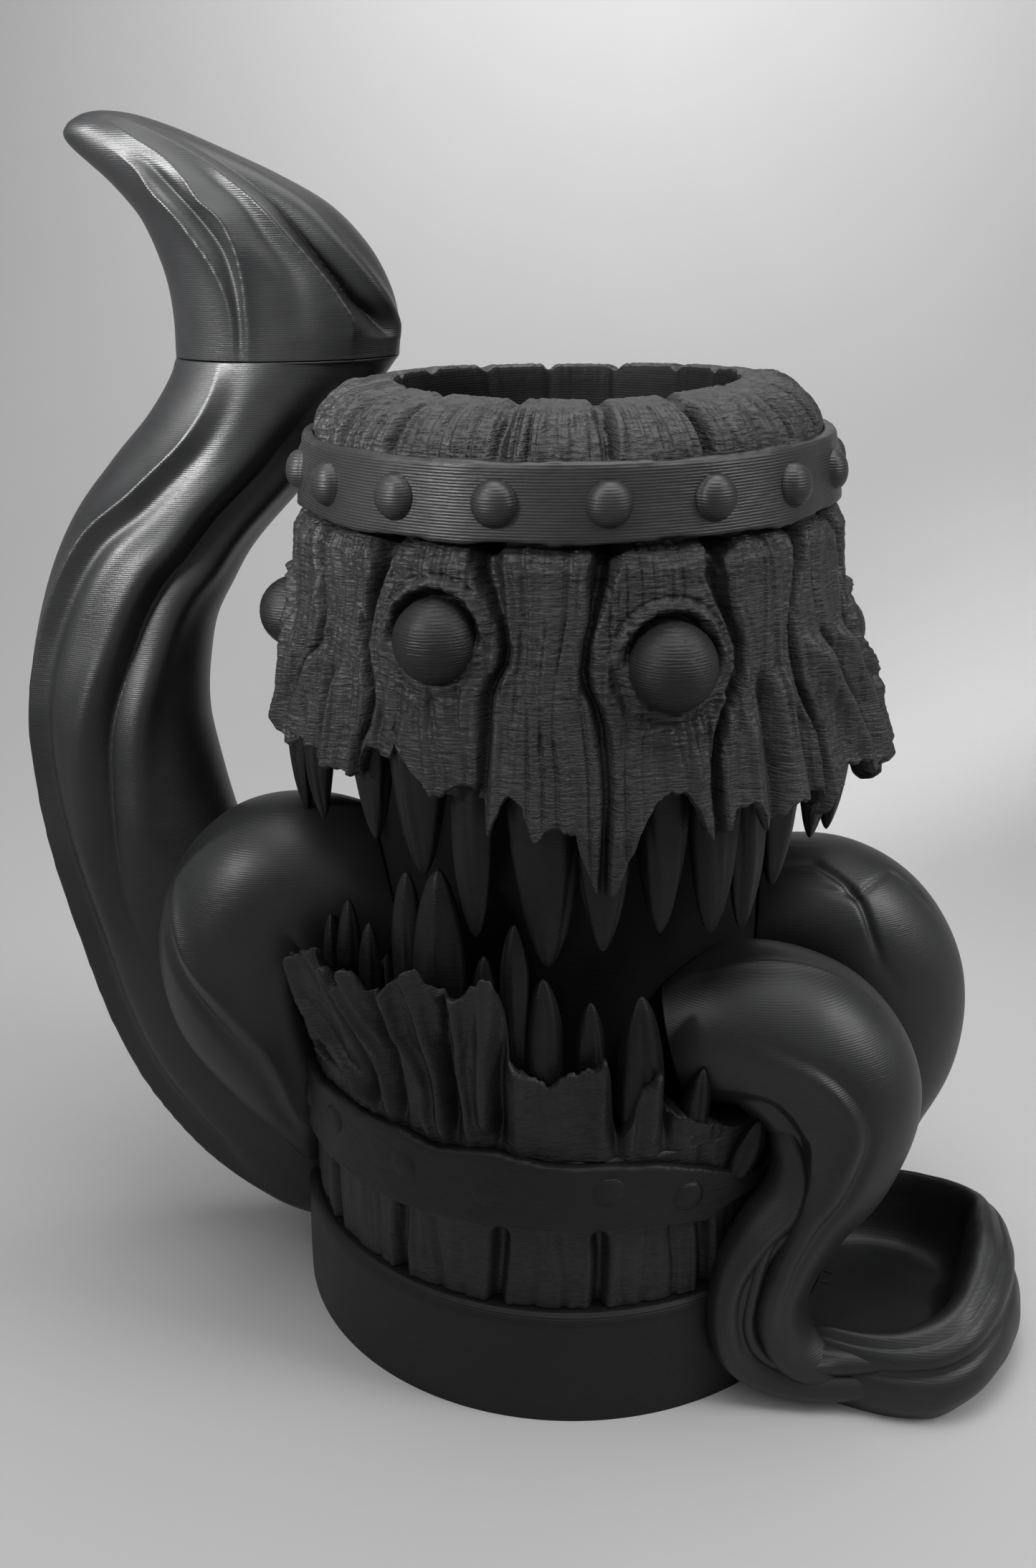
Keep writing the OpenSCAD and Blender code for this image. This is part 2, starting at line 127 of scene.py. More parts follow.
# ---------------------------------------------------------------- mesh makers
def make_object(name, co, quads, tris=None, limit=True):
    me = bpy.data.meshes.new(name)
    if limit:
        co = np.array(co, float)
        for ax in range(3):
            lo, hi = cad_box[0][ax] * 1000 + 0.06, cad_box[1][ax] * 1000 - 0.06
            if ax == 2:
                lo = 0.03
            k = 1.6
            c = co[:, ax]
            c = np.where(c < lo + k, lo + k - k * np.tanh((lo + k - c) / k), c) if ax < 2 else np.maximum(c, lo)
            c = np.where(c > hi - k, hi - k + k * np.tanh((c - hi + k) / k), c)
            co[:, ax] = c
    co = np.ascontiguousarray(co, np.float32) * MM
    me.vertices.add(len(co))
    me.vertices.foreach_set("co", co.ravel())
    quads = np.asarray(quads, np.int32).reshape(-1, 4)
    tris = np.zeros((0, 3), np.int32) if tris is None else np.asarray(tris, np.int32).reshape(-1, 3)
    me.loops.add(quads.size + tris.size)
    me.loops.foreach_set("vertex_index", np.concatenate([quads.ravel(), tris.ravel()]))
    me.polygons.add(len(quads) + len(tris))
    me.polygons.foreach_set("loop_start", np.concatenate([np.arange(len(quads)) * 4,
                                                          quads.size + np.arange(len(tris)) * 3]).astype(np.int32))
    me.polygons.foreach_set("use_smooth", np.ones(len(quads) + len(tris), bool))
    me.update(calc_edges=True)
    me.validate()
    ob = bpy.data.objects.new(name, me)
    scene.collection.objects.link(ob)
    return ob


def grid_quads(nv, nu, wrap_u=True, wrap_v=False, base=0):
    v = np.arange(nv if wrap_v else nv - 1)
    u = np.arange(nu if wrap_u else nu - 1)
    V, U = np.meshgrid(v, u, indexing="ij")
    V2, U2 = (V + 1) % nv, (U + 1) % nu
    return np.stack([V * nu + U, V * nu + U2, V2 * nu + U2, V2 * nu + U], -1).reshape(-1, 4) + base


def tube_part(X, flip=False):
    """Closed solid from rings X[v, u], capped with a centre point at each end."""
    nv, nu = X.shape[:2]
    co = np.concatenate([X.reshape(-1, 3), X[0].mean(0)[None], X[-1].mean(0)[None]])
    q = grid_quads(nv, nu)
    u = np.arange(nu)
    u2 = (u + 1) % nu
    c0, c1 = nv * nu, nv * nu + 1
    t = np.concatenate([np.stack([np.full(nu, c0), u2, u], -1),
                        np.stack([np.full(nu, c1), (nv - 1) * nu + u, (nv - 1) * nu + u2], -1)])
    if flip:
        q, t = q[:, ::-1], t[:, ::-1]
    return co, q, t


def join_parts(name, parts):
    cos, qs, ts, n = [], [], [], 0
    for co, q, t in parts:
        cos.append(co)
        qs.append(q + n)
        ts.append((t + n) if t is not None and len(t) else np.zeros((0, 3), int))
        n += len(co)
    return make_object(name, np.concatenate(cos), np.concatenate(qs), np.concatenate(ts))


def ring_part(X, flip=False):
    """Closed solid from sections that run round a closed loop: X[v, u] wraps both ways."""
    nv, nu = X.shape[:2]
    q = grid_quads(nv, nu, True, True)
    return X.reshape(-1, 3), (q[:, ::-1] if flip else q), None


def sheet_part(O, I, keep):
    """Closed solid between an outer grid O and an inner grid I that share cells, of which keep marks those that exist.
    Both wrap in u."""
    nv, nu = O.shape[:2]
    n = nv * nu
    q = grid_quads(nv, nu)
    k = keep.reshape(-1)
    faces = [q[k], (q[k] + n)[:, ::-1]]
    kp = keep
    left, right = np.roll(kp, 1, 1), np.roll(kp, -1, 1)
    up = np.concatenate([np.zeros((1, nu), bool), kp[:-1]])
    down = np.concatenate([kp[1:], np.zeros((1, nu), bool)])
    Q = q.reshape(nv - 1, nu, 4)

    def wall(mask, i, j):
        c = Q[mask]
        a, b = c[:, i], c[:, j]
        faces.append(np.stack([b, a, a + n, b + n], -1))
    wall(kp & ~up, 0, 1)
    wall(kp & ~right, 1, 2)
    wall(kp & ~down, 2, 3)
    wall(kp & ~left, 3, 0)
    f = np.concatenate(faces)
    co = np.concatenate([O.reshape(-1, 3), I.reshape(-1, 3)])
    used = np.unique(f)
    remap = np.full(2 * n, -1)
    remap[used] = np.arange(len(used))
    return co[used], remap[f], None


def lathe_part(prof, nu, f=None):
    """Solid of revolution of a closed (r, z) profile, with an optional change of each point."""
    prof = np.asarray(prof, float)
    a = np.arange(nu) * 360.0 / nu
    A, R = np.meshgrid(a, prof[:, 0])
    _, Z = np.meshgrid(a, prof[:, 1])
    if f is not None:
        R, Z = f(A, R, Z)
    return ring_part(polar(R, A, Z))


def fine(prof, step):
    """Adds points along a closed profile so that no side is longer than step."""
    out = []
    for p, q in zip(prof, prof[1:] + prof[:1]):
        n = max(1, int(math.ceil(math.dist(p, q) / step)))
        out += [[p[0] + (q[0] - p[0]) * i / n, p[1] + (q[1] - p[1]) * i / n] for i in range(n)]
    return out


# ---------------------------------------------------------------- swept flesh
def spline(p, q, r, s, t):
    return 0.5 * (2 * q + (r - p) * t + (2 * p - 5 * q + 4 * r - s) * t * t + (3 * q - p - 3 * r + s) * t ** 3)


def track(rows, t, col):
    rows = np.asarray(rows, float)
    x, y = rows[:, 0], rows[:, col]
    o = np.argsort(x)
    x, y = x[o], y[o]
    if len(x) < 3:
        return np.interp(t, x, y)
    m = np.gradient(y, x)
    k = np.clip(np.searchsorted(x, t, side="right") - 1, 0, len(x) - 2)
    h = x[k + 1] - x[k]
    s = np.clip((t - x[k]) / h, 0, 1)
    return ((1 + 2 * s) * (1 - s) ** 2 * y[k] + s * (1 - s) ** 2 * h * m[k]
            + s * s * (3 - 2 * s) * y[k + 1] + s * s * (s - 1) * h * m[k + 1])


def sweep(rows, side, nv, nu, feats=(), top=None, bottom=None, t0=0.0, t1=None, ease=0.9, chords=None):
    """Sections along rows [x, y, z, half width, half depth]. Each feature is (kind, width, [[t, phi, amount], ...]):
    a ridge or groove that runs along the surface at section angle phi."""
    rows = np.asarray(rows, float)
    m = len(rows)
    t = np.linspace(t0, (m - 1) if t1 is None else t1, nv)
    i = np.minimum(t.astype(int), m - 2)
    f = (t - i)[:, None]
    g = lambda k: rows[np.clip(k, 0, m - 1)]
    C = spline(g(i - 1), g(i), g(i + 1), g(i + 2), f)
    T = np.gradient(C[:, :3], axis=0)
    T /= np.linalg.norm(T, axis=1)[:, None]
    w_ = max(3, int(nv / (m - 1) * ease)) | 1
    T = np.stack([np.convolve(np.pad(T[:, q], w_ // 2, mode="edge"), np.hanning(w_ + 2)[1:-1] / np.hanning(w_ + 2)[1:-1].sum(), "valid")
                  for q in range(3)], 1)
    if top is not None:
        k = min(12, nv // 8)
        w = smooth(np.linspace(0, 1, k))[:, None]
        T[-k:] = T[-k:] * (1 - w) + np.array(top, float) * w
    if bottom is not None:
        k = min(12, nv // 8)
        w = smooth(np.linspace(1, 0, k))[:, None]
        T[:k] = T[:k] * (1 - w) + np.array(bottom, float) * w
    T /= np.linalg.norm(T, axis=1)[:, None]
    sd = np.array(side, float)
    if sd.ndim == 1:
        sd = np.repeat(sd[None], nv, 0)
    else:
        sd = np.stack([np.interp(t, np.arange(m), sd[:, q]) for q in range(3)], 1)
    N = np.cross(sd, T)
    N /= np.linalg.norm(N, axis=1)[:, None]
    B = np.cross(T, N)
    if chords is not None:
        # rows [t, outer x, outer z, inner x, inner z] fix the two ends of each section
        ch = np.asarray(chords, float)
        lo_t = ch[0, 0]
        w = smooth((t - lo_t) / 0.8)[:, None] if lo_t > 0 else np.ones((nv, 1))
        o_ = np.stack([track(ch, t, 1), C[:, 1], track(ch, t, 2)], 1)
        i_ = np.stack([track(ch, t, 3), C[:, 1], track(ch, t, 4)], 1)
        o_ = o_ * w + (C[:, :3] + N * C[:, 3:4]) * (1 - w)
        i_ = i_ * w + (C[:, :3] - N * C[:, 3:4]) * (1 - w)
        C[:, :3] = (o_ + i_) / 2
        C[:, 3] = np.linalg.norm(o_ - i_, axis=1) / 2
        N = (o_ - i_) / (2 * C[:, 3:4])
        up_ = B.copy()
        B = up_ - N * (up_ * N).sum(1)[:, None]
        B /= np.linalg.norm(B, axis=1)[:, None]
    ph = np.arange(nu) * 2 * PI / nu
    a, b = C[:, 3, None, None], C[:, 4, None, None]
    c, s = np.cos(ph)[None, :, None], np.sin(ph)[None, :, None]
    X = C[:, None, :3] + N[:, None] * a * c + B[:, None] * b * s
    nr = N[:, None] * (c / a) + B[:, None] * (s / b)
    nr /= np.linalg.norm(nr, axis=2)[..., None]
    off = np.zeros((nv, nu))
    deg = np.degrees(ph)[None, :]
    rad = np.hypot(C[:, 3, None] * np.sin(ph)[None], C[:, 4, None] * np.cos(ph)[None])
    for kind, width, tab in feats:
        tab = np.asarray(tab, float)
        lo, hi = tab[:, 0].min(), tab[:, 0].max()
        fp = track(tab, t, 1)[:, None]
        amt = (track(tab, t, 2) * smooth((t - lo) / 0.7 + 1) * smooth((hi - t) / 0.7 + 1))[:, None]
        d = np.radians(wrap180(deg - fp)) * rad
        if kind == "ridge":
            off += amt * bump(d, width)
        elif kind == "groove":
            off -= amt * bump(d, width)
        elif kind == "crest":
            off += amt * np.exp(-np.abs(d) / width)
        elif kind == "cut":
            off -= amt * np.exp(-np.abs(d) / width)
        elif kind == "step":
            off += amt * 0.5 * (1 + np.tanh(d / width)) * smooth((110 - np.abs(wrap180(deg - fp))) / 50)
    return X, nr, off, t, deg


def clear_axis(X, r):
    """Keeps points out of a cylinder round the tower's axis."""
    d = np.hypot(X[..., 0], X[..., 1])
    s = np.where(d < r, r / np.maximum(d, 1e-6), 1.0)
    Y = X.copy()
    Y[..., 0] *= s
    Y[..., 1] *= s
    return Y


# ---------------------------------------------------------------- materials
def new_material(name):
    m = bpy.data.materials.new(name)
    m.use_nodes = True
    nt = m.node_tree
    nt.nodes.clear()
    out = nt.nodes.new("ShaderNodeOutputMaterial")
    bs = nt.nodes.new("ShaderNodeBsdfPrincipled")
    nt.links.new(bs.outputs["BSDF"], out.inputs["Surface"])
    return m, nt, bs


def node(nt, kind, **kw):
    n = nt.nodes.new(kind)
    for k, v in kw.items():
        if k == "inputs":
            for a, b in v.items():
                n.inputs[a].default_value = b
        else:
            setattr(n, k, v)
    return n


def plastic(name, dark, light, rough=(0.45, 0.62), layer=0.35, layer_mm=0.55, dash=0.0, grain=0.0, speck=0.25,
            sheen=0.0, spec=0.5, coat=0.0):
    """Printed near-black plastic: layer lines that ride round the part, soft mottling, and short dashes and grain."""
    m, nt, bs = new_material(name)
    L = nt.links.new
    tc = node(nt, "ShaderNodeTexCoord")
    mottle = node(nt, "ShaderNodeTexNoise", inputs={"Scale": 55.0, "Detail": 5.0, "Roughness": 0.6})
    L(tc.outputs["Object"], mottle.inputs["Vector"])
    # short horizontal dashes: noise squeezed in z
    mp = node(nt, "ShaderNodeMapping", inputs={"Scale": (330.0, 330.0, 2300.0)})
    L(tc.outputs["Object"], mp.inputs["Vector"])
    dn = node(nt, "ShaderNodeTexNoise", inputs={"Scale": 1.0, "Detail": 3.0, "Roughness": 0.62})
    L(mp.outputs["Vector"], dn.inputs["Vector"])
    cut = node(nt, "ShaderNodeMapRange", interpolation_type="SMOOTHSTEP",
               inputs={"From Min": 0.34, "From Max": 0.52, "To Min": 0.0, "To Max": 1.0})
    L(dn.outputs["Fac"], cut.inputs["Value"])
    # grain along z
    mg = node(nt, "ShaderNodeMapping", inputs={"Scale": (900.0, 900.0, 90.0)})
    L(tc.outputs["Object"], mg.inputs["Vector"])
    gn = node(nt, "ShaderNodeTexNoise", inputs={"Scale": 1.0, "Detail": 4.0, "Roughness": 0.65})
    L(mg.outputs["Vector"], gn.inputs["Vector"])
    # layer lines
    sx = node(nt, "ShaderNodeSeparateXYZ")
    L(tc.outputs["Object"], sx.inputs["Vector"])
    ml = node(nt, "ShaderNodeMath", operation="MULTIPLY")
    ml.inputs[1].default_value = 2 * PI / (layer_mm * MM)
    L(sx.outputs["Z"], ml.inputs[0])
    sn = node(nt, "ShaderNodeMath", operation="SINE")
    L(ml.outputs[0], sn.inputs[0])
    # colour
    cr = node(nt, "ShaderNodeValToRGB")
    cr.color_ramp.elements[0].position = 0.32
    cr.color_ramp.elements[1].position = 0.72
    cr.color_ramp.elements[0].color = (*dark, 1)
    cr.color_ramp.elements[1].color = (*light, 1)
    L(mottle.outputs["Fac"], cr.inputs["Fac"])
    col = cr.outputs["Color"]
    if dash > 0:
        dr = node(nt, "ShaderNodeValToRGB")
        dr.color_ramp.elements[0].position = 0.0
        dr.color_ramp.elements[1].position = 0.9
        dr.color_ramp.elements[0].color = (0.2, 0.2, 0.2, 1)
        dr.color_ramp.elements[1].color = (1.15, 1.15, 1.15, 1)
        L(cut.outputs["Result"], dr.inputs["Fac"])
        mx = node(nt, "ShaderNodeMix", data_type="RGBA", blend_type="MULTIPLY")
        mx.inputs["Factor"].default_value = dash
        L(col, mx.inputs["A"])
        L(dr.outputs["Color"], mx.inputs["B"])
        col = mx.outputs["Result"]
    L(col, bs.inputs["Base Color"])
    # roughness
    rr = node(nt, "ShaderNodeMapRange", inputs={"From Min": 0.3, "From Max": 0.75, "To Min": rough[0], "To Max": rough[1]})
    L(mottle.outputs["Fac"], rr.inputs["Value"])
    L(rr.outputs["Result"], bs.inputs["Roughness"])
    # height
    h = None

    def add(sock, k):
        nonlocal h
        mm_ = node(nt, "ShaderNodeMath", operation="MULTIPLY")
        mm_.inputs[1].default_value = k
        L(sock, mm_.inputs[0])
        if h is None:
            h = mm_.outputs[0]
        else:
            ad = node(nt, "ShaderNodeMath", operation="ADD")
            L(h, ad.inputs[0])
            L(mm_.outputs[0], ad.inputs[1])
            h = ad.outputs[0]
    add(sn.outputs[0], 0.06 * layer)
    add(cut.outputs["Result"], 0.5 * dash)
    add(dn.outputs["Fac"], 0.45 * max(dash, 0.1))
    if grain > 0:
        add(gn.outputs["Fac"], 0.8 * grain)
    sp = node(nt, "ShaderNodeTexNoise", inputs={"Scale": 1500.0, "Detail": 2.0, "Roughness": 0.6})
    L(tc.outputs["Object"], sp.inputs["Vector"])
    add(sp.outputs["Fac"], 0.25 * speck)
    bp = node(nt, "ShaderNodeBump", inputs={"Strength": 0.55, "Distance": 0.0006})
    L(h, bp.inputs["Height"])
    L(bp.outputs["Normal"], bs.inputs["Normal"])
    bs.inputs["Specular IOR Level"].default_value = spec
    bs.inputs["IOR"].default_value = 1.46
    if sheen:
        bs.inputs["Sheen Weight"].default_value = sheen
        bs.inputs["Sheen Roughness"].default_value = 0.5
    return m


MAT = {
    "staves": plastic("printed_staves", (0.007, 0.007, 0.0072), (0.0235, 0.0235, 0.024), (0.42, 0.6), 0.5, 0.5, 1.2, 0.8, 0.7, spec=0.5),
    # painted shade: the jaw and barrel take a darker copy of the staves' plastic, standing in for the weaker light
    # under the head's overhang
    "jaw": plastic("printed_jaw_painted_shade", (0.0052, 0.0052, 0.0055), (0.0175, 0.0172, 0.018), (0.42, 0.56), 0.4, 0.5, 0.3, 0.45, 0.45, spec=0.4),
    # painted light: the upper hoop band and its domes take a lighter copy of the band plastic, standing in for the
    # stronger light near the top
    "hoops": plastic("printed_hoops_painted_light", (0.014, 0.014, 0.0144), (0.021, 0.021, 0.0216), (0.4, 0.52), 1.3, 0.5, 0.12, 0.0, 0.35, spec=0.5),
    # painted shade: the lower hoop band and its domes take a darker copy of the same plastic, standing in for the
    # weaker light low down
    "hoop_painted_shade": plastic("printed_low_hoop_painted_shade", (0.0055, 0.0055, 0.0058), (0.010, 0.0098, 0.0103), (0.45, 0.58), 0.9, 0.5, 0.15, 0.1, 0.35, spec=0.3),
    # painted shade: the teeth take a darker copy of the plastic, standing in for the shade inside the mouth under the
    # head
    "teeth": plastic("printed_teeth_painted_shade", (0.0042, 0.0042, 0.0044), (0.0092, 0.009, 0.0092), (0.4, 0.52), 0.35, 0.4, 0.12, 0.2, 0.25, spec=0.27),
    "eyes": plastic("printed_eyes", (0.0058, 0.0058, 0.006), (0.011, 0.011, 0.0113), (0.42, 0.54), 1.3, 0.5, 0.35, 0.0, 0.3, spec=0.4),
    "tongue": plastic("printed_flesh", (0.009, 0.0093, 0.0098), (0.0145, 0.0148, 0.0155), (0.39, 0.49), 0.35, 0.4, 0.04, 0.0, 0.2, spec=0.5),
    # painted shade: a near-black copy of the plastic for surfaces inside the mug and tower, standing in for the shade
    # there
    "inner": plastic("printed_inner_painted_shade", (0.0022, 0.0022, 0.0022), (0.0045, 0.0045, 0.0045), (0.65, 0.8), 0.8, 0.5, 0.1, 0.0, 0.3, spec=0.16),
    # painted shade: the base ring and floor disc take a darker copy of the plastic, standing in for the weaker light
    # low down
    "base": plastic("printed_base_painted_shade", (0.0055, 0.0055, 0.0058), (0.0088, 0.0088, 0.0092), (0.42, 0.54), 0.7, 0.4, 0.05, 0.0, 0.2, spec=0.3),
}


def finish_piece(ob, mat, nodes, body="tower"):
    ob.data.materials.append(MAT[mat])
    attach(ob, body)
    if nodes:
        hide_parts(*nodes)
    return ob


# ---------------------------------------------------------------- staves: joints between planks, shared by all levels
# each row: [height, angle] down one joint
JOINTS = [
    [[192, -59], [166, -59.7], [159.8, -58], [152.6, -55.7], [147, -57.6], [142.3, -61.7], [136, -65.8], [131, -65.4], [124, -61.5]],
    [[192, -39.5], [167.8, -38], [163.9, -37.5], [158.8, -39.6], [153.7, -41.1], [150, -41.3], [145.4, -39.4], [142, -38.1],
     [137, -38.8], [133.5, -40.5], [124, -41.5]],
    [[192, -13.3], [167.9, -15.4], [163.4, -14.6], [158.8, -12.8], [155.4, -11.5], [152.5, -11], [149.6, -11.4], [147.1, -13],
     [144.2, -14.2], [141.3, -14.4], [135.3, -14.4], [128.3, -14.6], [116, -14.8]],
    [[192, 6.2], [187, 8.5], [167.8, 7.9], [164.8, 6.4], [161.3, 5.6], [156.7, 4.5], [153.3, 3.4], [148.6, 3], [145.7, 3.6],
     [142.8, 5.1], [139.3, 6], [134.6, 6.5], [128.8, 6.7], [124.1, 6.5], [119.4, 6.2], [110.8, 6]],
    [[192, 29.6], [167.6, 30.3], [163.3, 28.7], [159.1, 29.8], [154.7, 31.8], [151, 32.9], [147.5, 32.8], [144.1, 31.2],
     [140.9, 28.9], [137.5, 27.5], [134.1, 26.7], [128.3, 25.9], [122.5, 26], [119, 26.3]],
    [[192, 53.3], [188, 55.4], [167, 51.9], [161.8, 50.2], [157.2, 48.5], [152.6, 46.8], [147.7, 46.5], [142.7, 46.8],
     [138, 48.8], [133.3, 50.3], [128.4, 50.2], [120, 49.2]],
    [[192, 74], [167, 70], [158, 71.5], [150, 69], [140, 72], [130, 75], [118, 76]],
    [[192, 96], [167, 92], [155, 90], [142, 92], [130, 97], [118, 98]],
    [[192, 118], [167, 113], [155, 112], [142, 115], [130, 118], [110, 117]],
    [[192, 138], [167, 135], [150, 137], [130, 133], [110, 136], [92, 137]],
    [[192, 164], [167, 156], [150, 158], [130, 160], [110, 156], [92, 157]],
    [[192, 189], [167, 178], [150, 181], [130, 176], [110, 178], [92, 180]],
    [[192, 214], [167, 200], [150, 197], [130, 201], [110, 203], [92, 200]],
    [[192, 240], [167, 222], [150, 224], [130, 226], [110, 222], [92, 222]],
    [[192, 262], [167, 246], [150, 244], [135, 247], [118, 250]],
    [[192, 284], [167, 270], [152, 272], [140, 268], [118, 266]],
]


def joint_angle(rows, z):
    rows = sorted(rows)
    x = np.array([r[0] for r in rows], float)
    y = np.array([r[1] for r in rows], float)
    return np.interp(z, x, y)


# rows [angle, lip height, lip radius]
LIP = [[0, 113, 58], [30, 116, 59.5], [62, 117, 61.5], [95, 118.5, 61.5], [122, 116, 58], [142, 92.1, 55.6],
       [222, 92.1, 55.6], [238, 116, 57], [268, 119.5, 57.5], [300, 117, 59], [330, 119, 58.5]]
# the torn edge of the upper lip: [angle, height]
LIP_EDGE = [[-80, 129], [-73, 127.5], [-67, 127], [-64.3, 127.4], [-62, 132], [-56.4, 129.2], [-52, 128.2], [-47.3, 128.4],
            [-43.1, 127], [-40.6, 126.4], [-39.4, 130.7], [-38.4, 132.7], [-34.9, 131.8], [-32.6, 132.5], [-32, 135],
            [-29.5, 132.4], [-26.8, 129.3], [-23.8, 126.2], [-20.6, 128.3], [-17.4, 129.2], [-15.1, 128.2], [-14.6, 123.6],
            [-13.5, 121.2], [-12.2, 123.7], [-11.4, 126.8], [-9.9, 128.2], [-7.6, 127], [-7.1, 124], [-5.8, 121.1],
            [-4.9, 120.2], [-4, 121.8], [-2.8, 122.8], [-0.2, 122.8], [1.3, 122.1], [1.9, 118.6], [3.0, 115.0], [4.4, 112.0],
            [6.2, 109.5], [8.2, 112.0], [9.6, 115.4], [10.8, 118.1], [11.8, 121.6], [13.5, 124.9], [15.4, 127.4],
            [17.9, 128.4], [19.8, 127.9], [21.7, 125.6], [23, 121.7], [24.6, 119.8], [26.3, 118.6], [27.8, 121],
            [29.6, 124.2], [32.1, 125], [33.7, 122.9], [35.1, 119.8], [36.1, 118.8], [38.5, 121.2], [41.3, 123.1],
            [44.8, 123.2], [48, 123], [49.6, 117.5], [51, 120], [52.8, 122.4], [56.9, 125.6], [62.7, 125.8], [66, 121],
            [69, 123], [73, 120], [76, 116], [79, 121], [85, 119], [90, 114.5], [94, 120], [100, 118], [106, 114], [110, 119],
            [116, 117], [120, 112], [126, 110], [132, 101], [138, 93.5], [142, 92.2], [222, 92.2], [227, 96], [233, 108],
            [238, 116], [243, 113], [247, 119], [253, 121], [257, 116], [262, 122], [268, 124], [273, 128]]


def lip_edge(a):
    w = wrap180(a)
    rows = sorted([[wrap180(p[0]), p[1]] for p in LIP_EDGE])
    x = np.array([r[0] for r in rows], float)
    y = np.array([r[1] for r in rows], float)
    x = np.concatenate([[x[-1] - 360], x, [x[0] + 360]])
    y = np.concatenate([[y[-1]], y, [y[0]]])
    return np.interp(w, x, y)


EYES = [[-21.7, -47.3, 152.8, 7.3], [17.2, -50.4, 149, 7.6], [-52, -7, 148, 6.9], [50, -6, 144, 6.9]]


def head_radius(a, z):
    t2 = around(LIP, a, 2)
    lz = np.where(around(LIP, a, 1) > 110, 122.0, 92.0)
    f = np.clip((165 - z) / (165 - lz), 0, 1)
    low = 51.2 + (t2 - 51.2) * f ** 1.5
    mid = 51.2 - (z - 165) / 3.5 * 2.0
    band = 49.2 - 0.147 * (z - 168.5)
    top = 47.2 - 0.14 * np.maximum(z - 183, 0) ** 1.9
    return np.where(z > 183, top, np.where(z > 168.5, band, np.where(z > 165, mid, low)))


def wood(x, y, z, seed):
    """Grain that runs down a plank: wandering lines, streaks and small pits."""
    wx = x + 1.6 * noise(x / 9, y / 9, z / 16, seed + 1)
    wy = y + 1.6 * noise(x / 9, y / 9, z / 16, seed + 2)
    n1 = noise(wx / 2.5, wy / 2.5, z / 42, seed + 3)
    n2 = noise(wx / 1.3, wy / 1.3, z / 26, seed + 4)
    n3 = noise(wx / 0.75, wy / 0.75, z / 14, seed + 5)
    return -0.55 * bump(n1, 0.16) - 0.3 * bump(n2, 0.2) + 0.22 * n2 + 0.12 * n3


def planks(a, z, r, top_w=2.0, seed=0):
    """Displacement from plank joints: a gap, a raised edge each side, and a crown across the plank."""
    near = np.full(np.broadcast(a, z).shape, 1e3)
    off = np.zeros_like(near)
    crown = np.ones_like(near)
    step = np.zeros_like(near)
    for i, rows in enumerate(JOINTS):
        g = joint_angle(rows, z)
        zmin = min(q[0] for q in rows)
        d = np.radians(wrap180(a - g)) * r
        wide = np.where(z < 169.5, 0.78 + (top_w - 0.78) * smooth((z - 156) / 11), 1.0)
        wide = wide * (1 + 0.22 * noise(z / 6.0, i * 7.1, 0.0, 91))
        depth = np.where(z < 169.5, 2.6 + 1.7 * smooth((z - 156) / 11), 2.3)
        depth = depth * (1 + 0.2 * noise(z / 8.0, i * 3.3, 5.0, 92))
        off -= depth * np.exp(-np.abs(d / wide) ** 2.4)
        off += 0.42 * bump(np.abs(d) - wide - 1.15, 0.7)
        off += 0.2 * bump(np.abs(d) - wide - 3.0, 0.55)
        crown *= 1 - bump(d, 4.2)
        # each plank sits a little proud or shy of its neighbour
        step += (0.35 * ((i * 37) % 5 - 2) / 2.0) * 0.5 * (1 + np.tanh(d / 0.6)) * bump(d, 9.0)
        near = np.minimum(near, np.abs(d))
    return off + 0.75 * crown + step, near


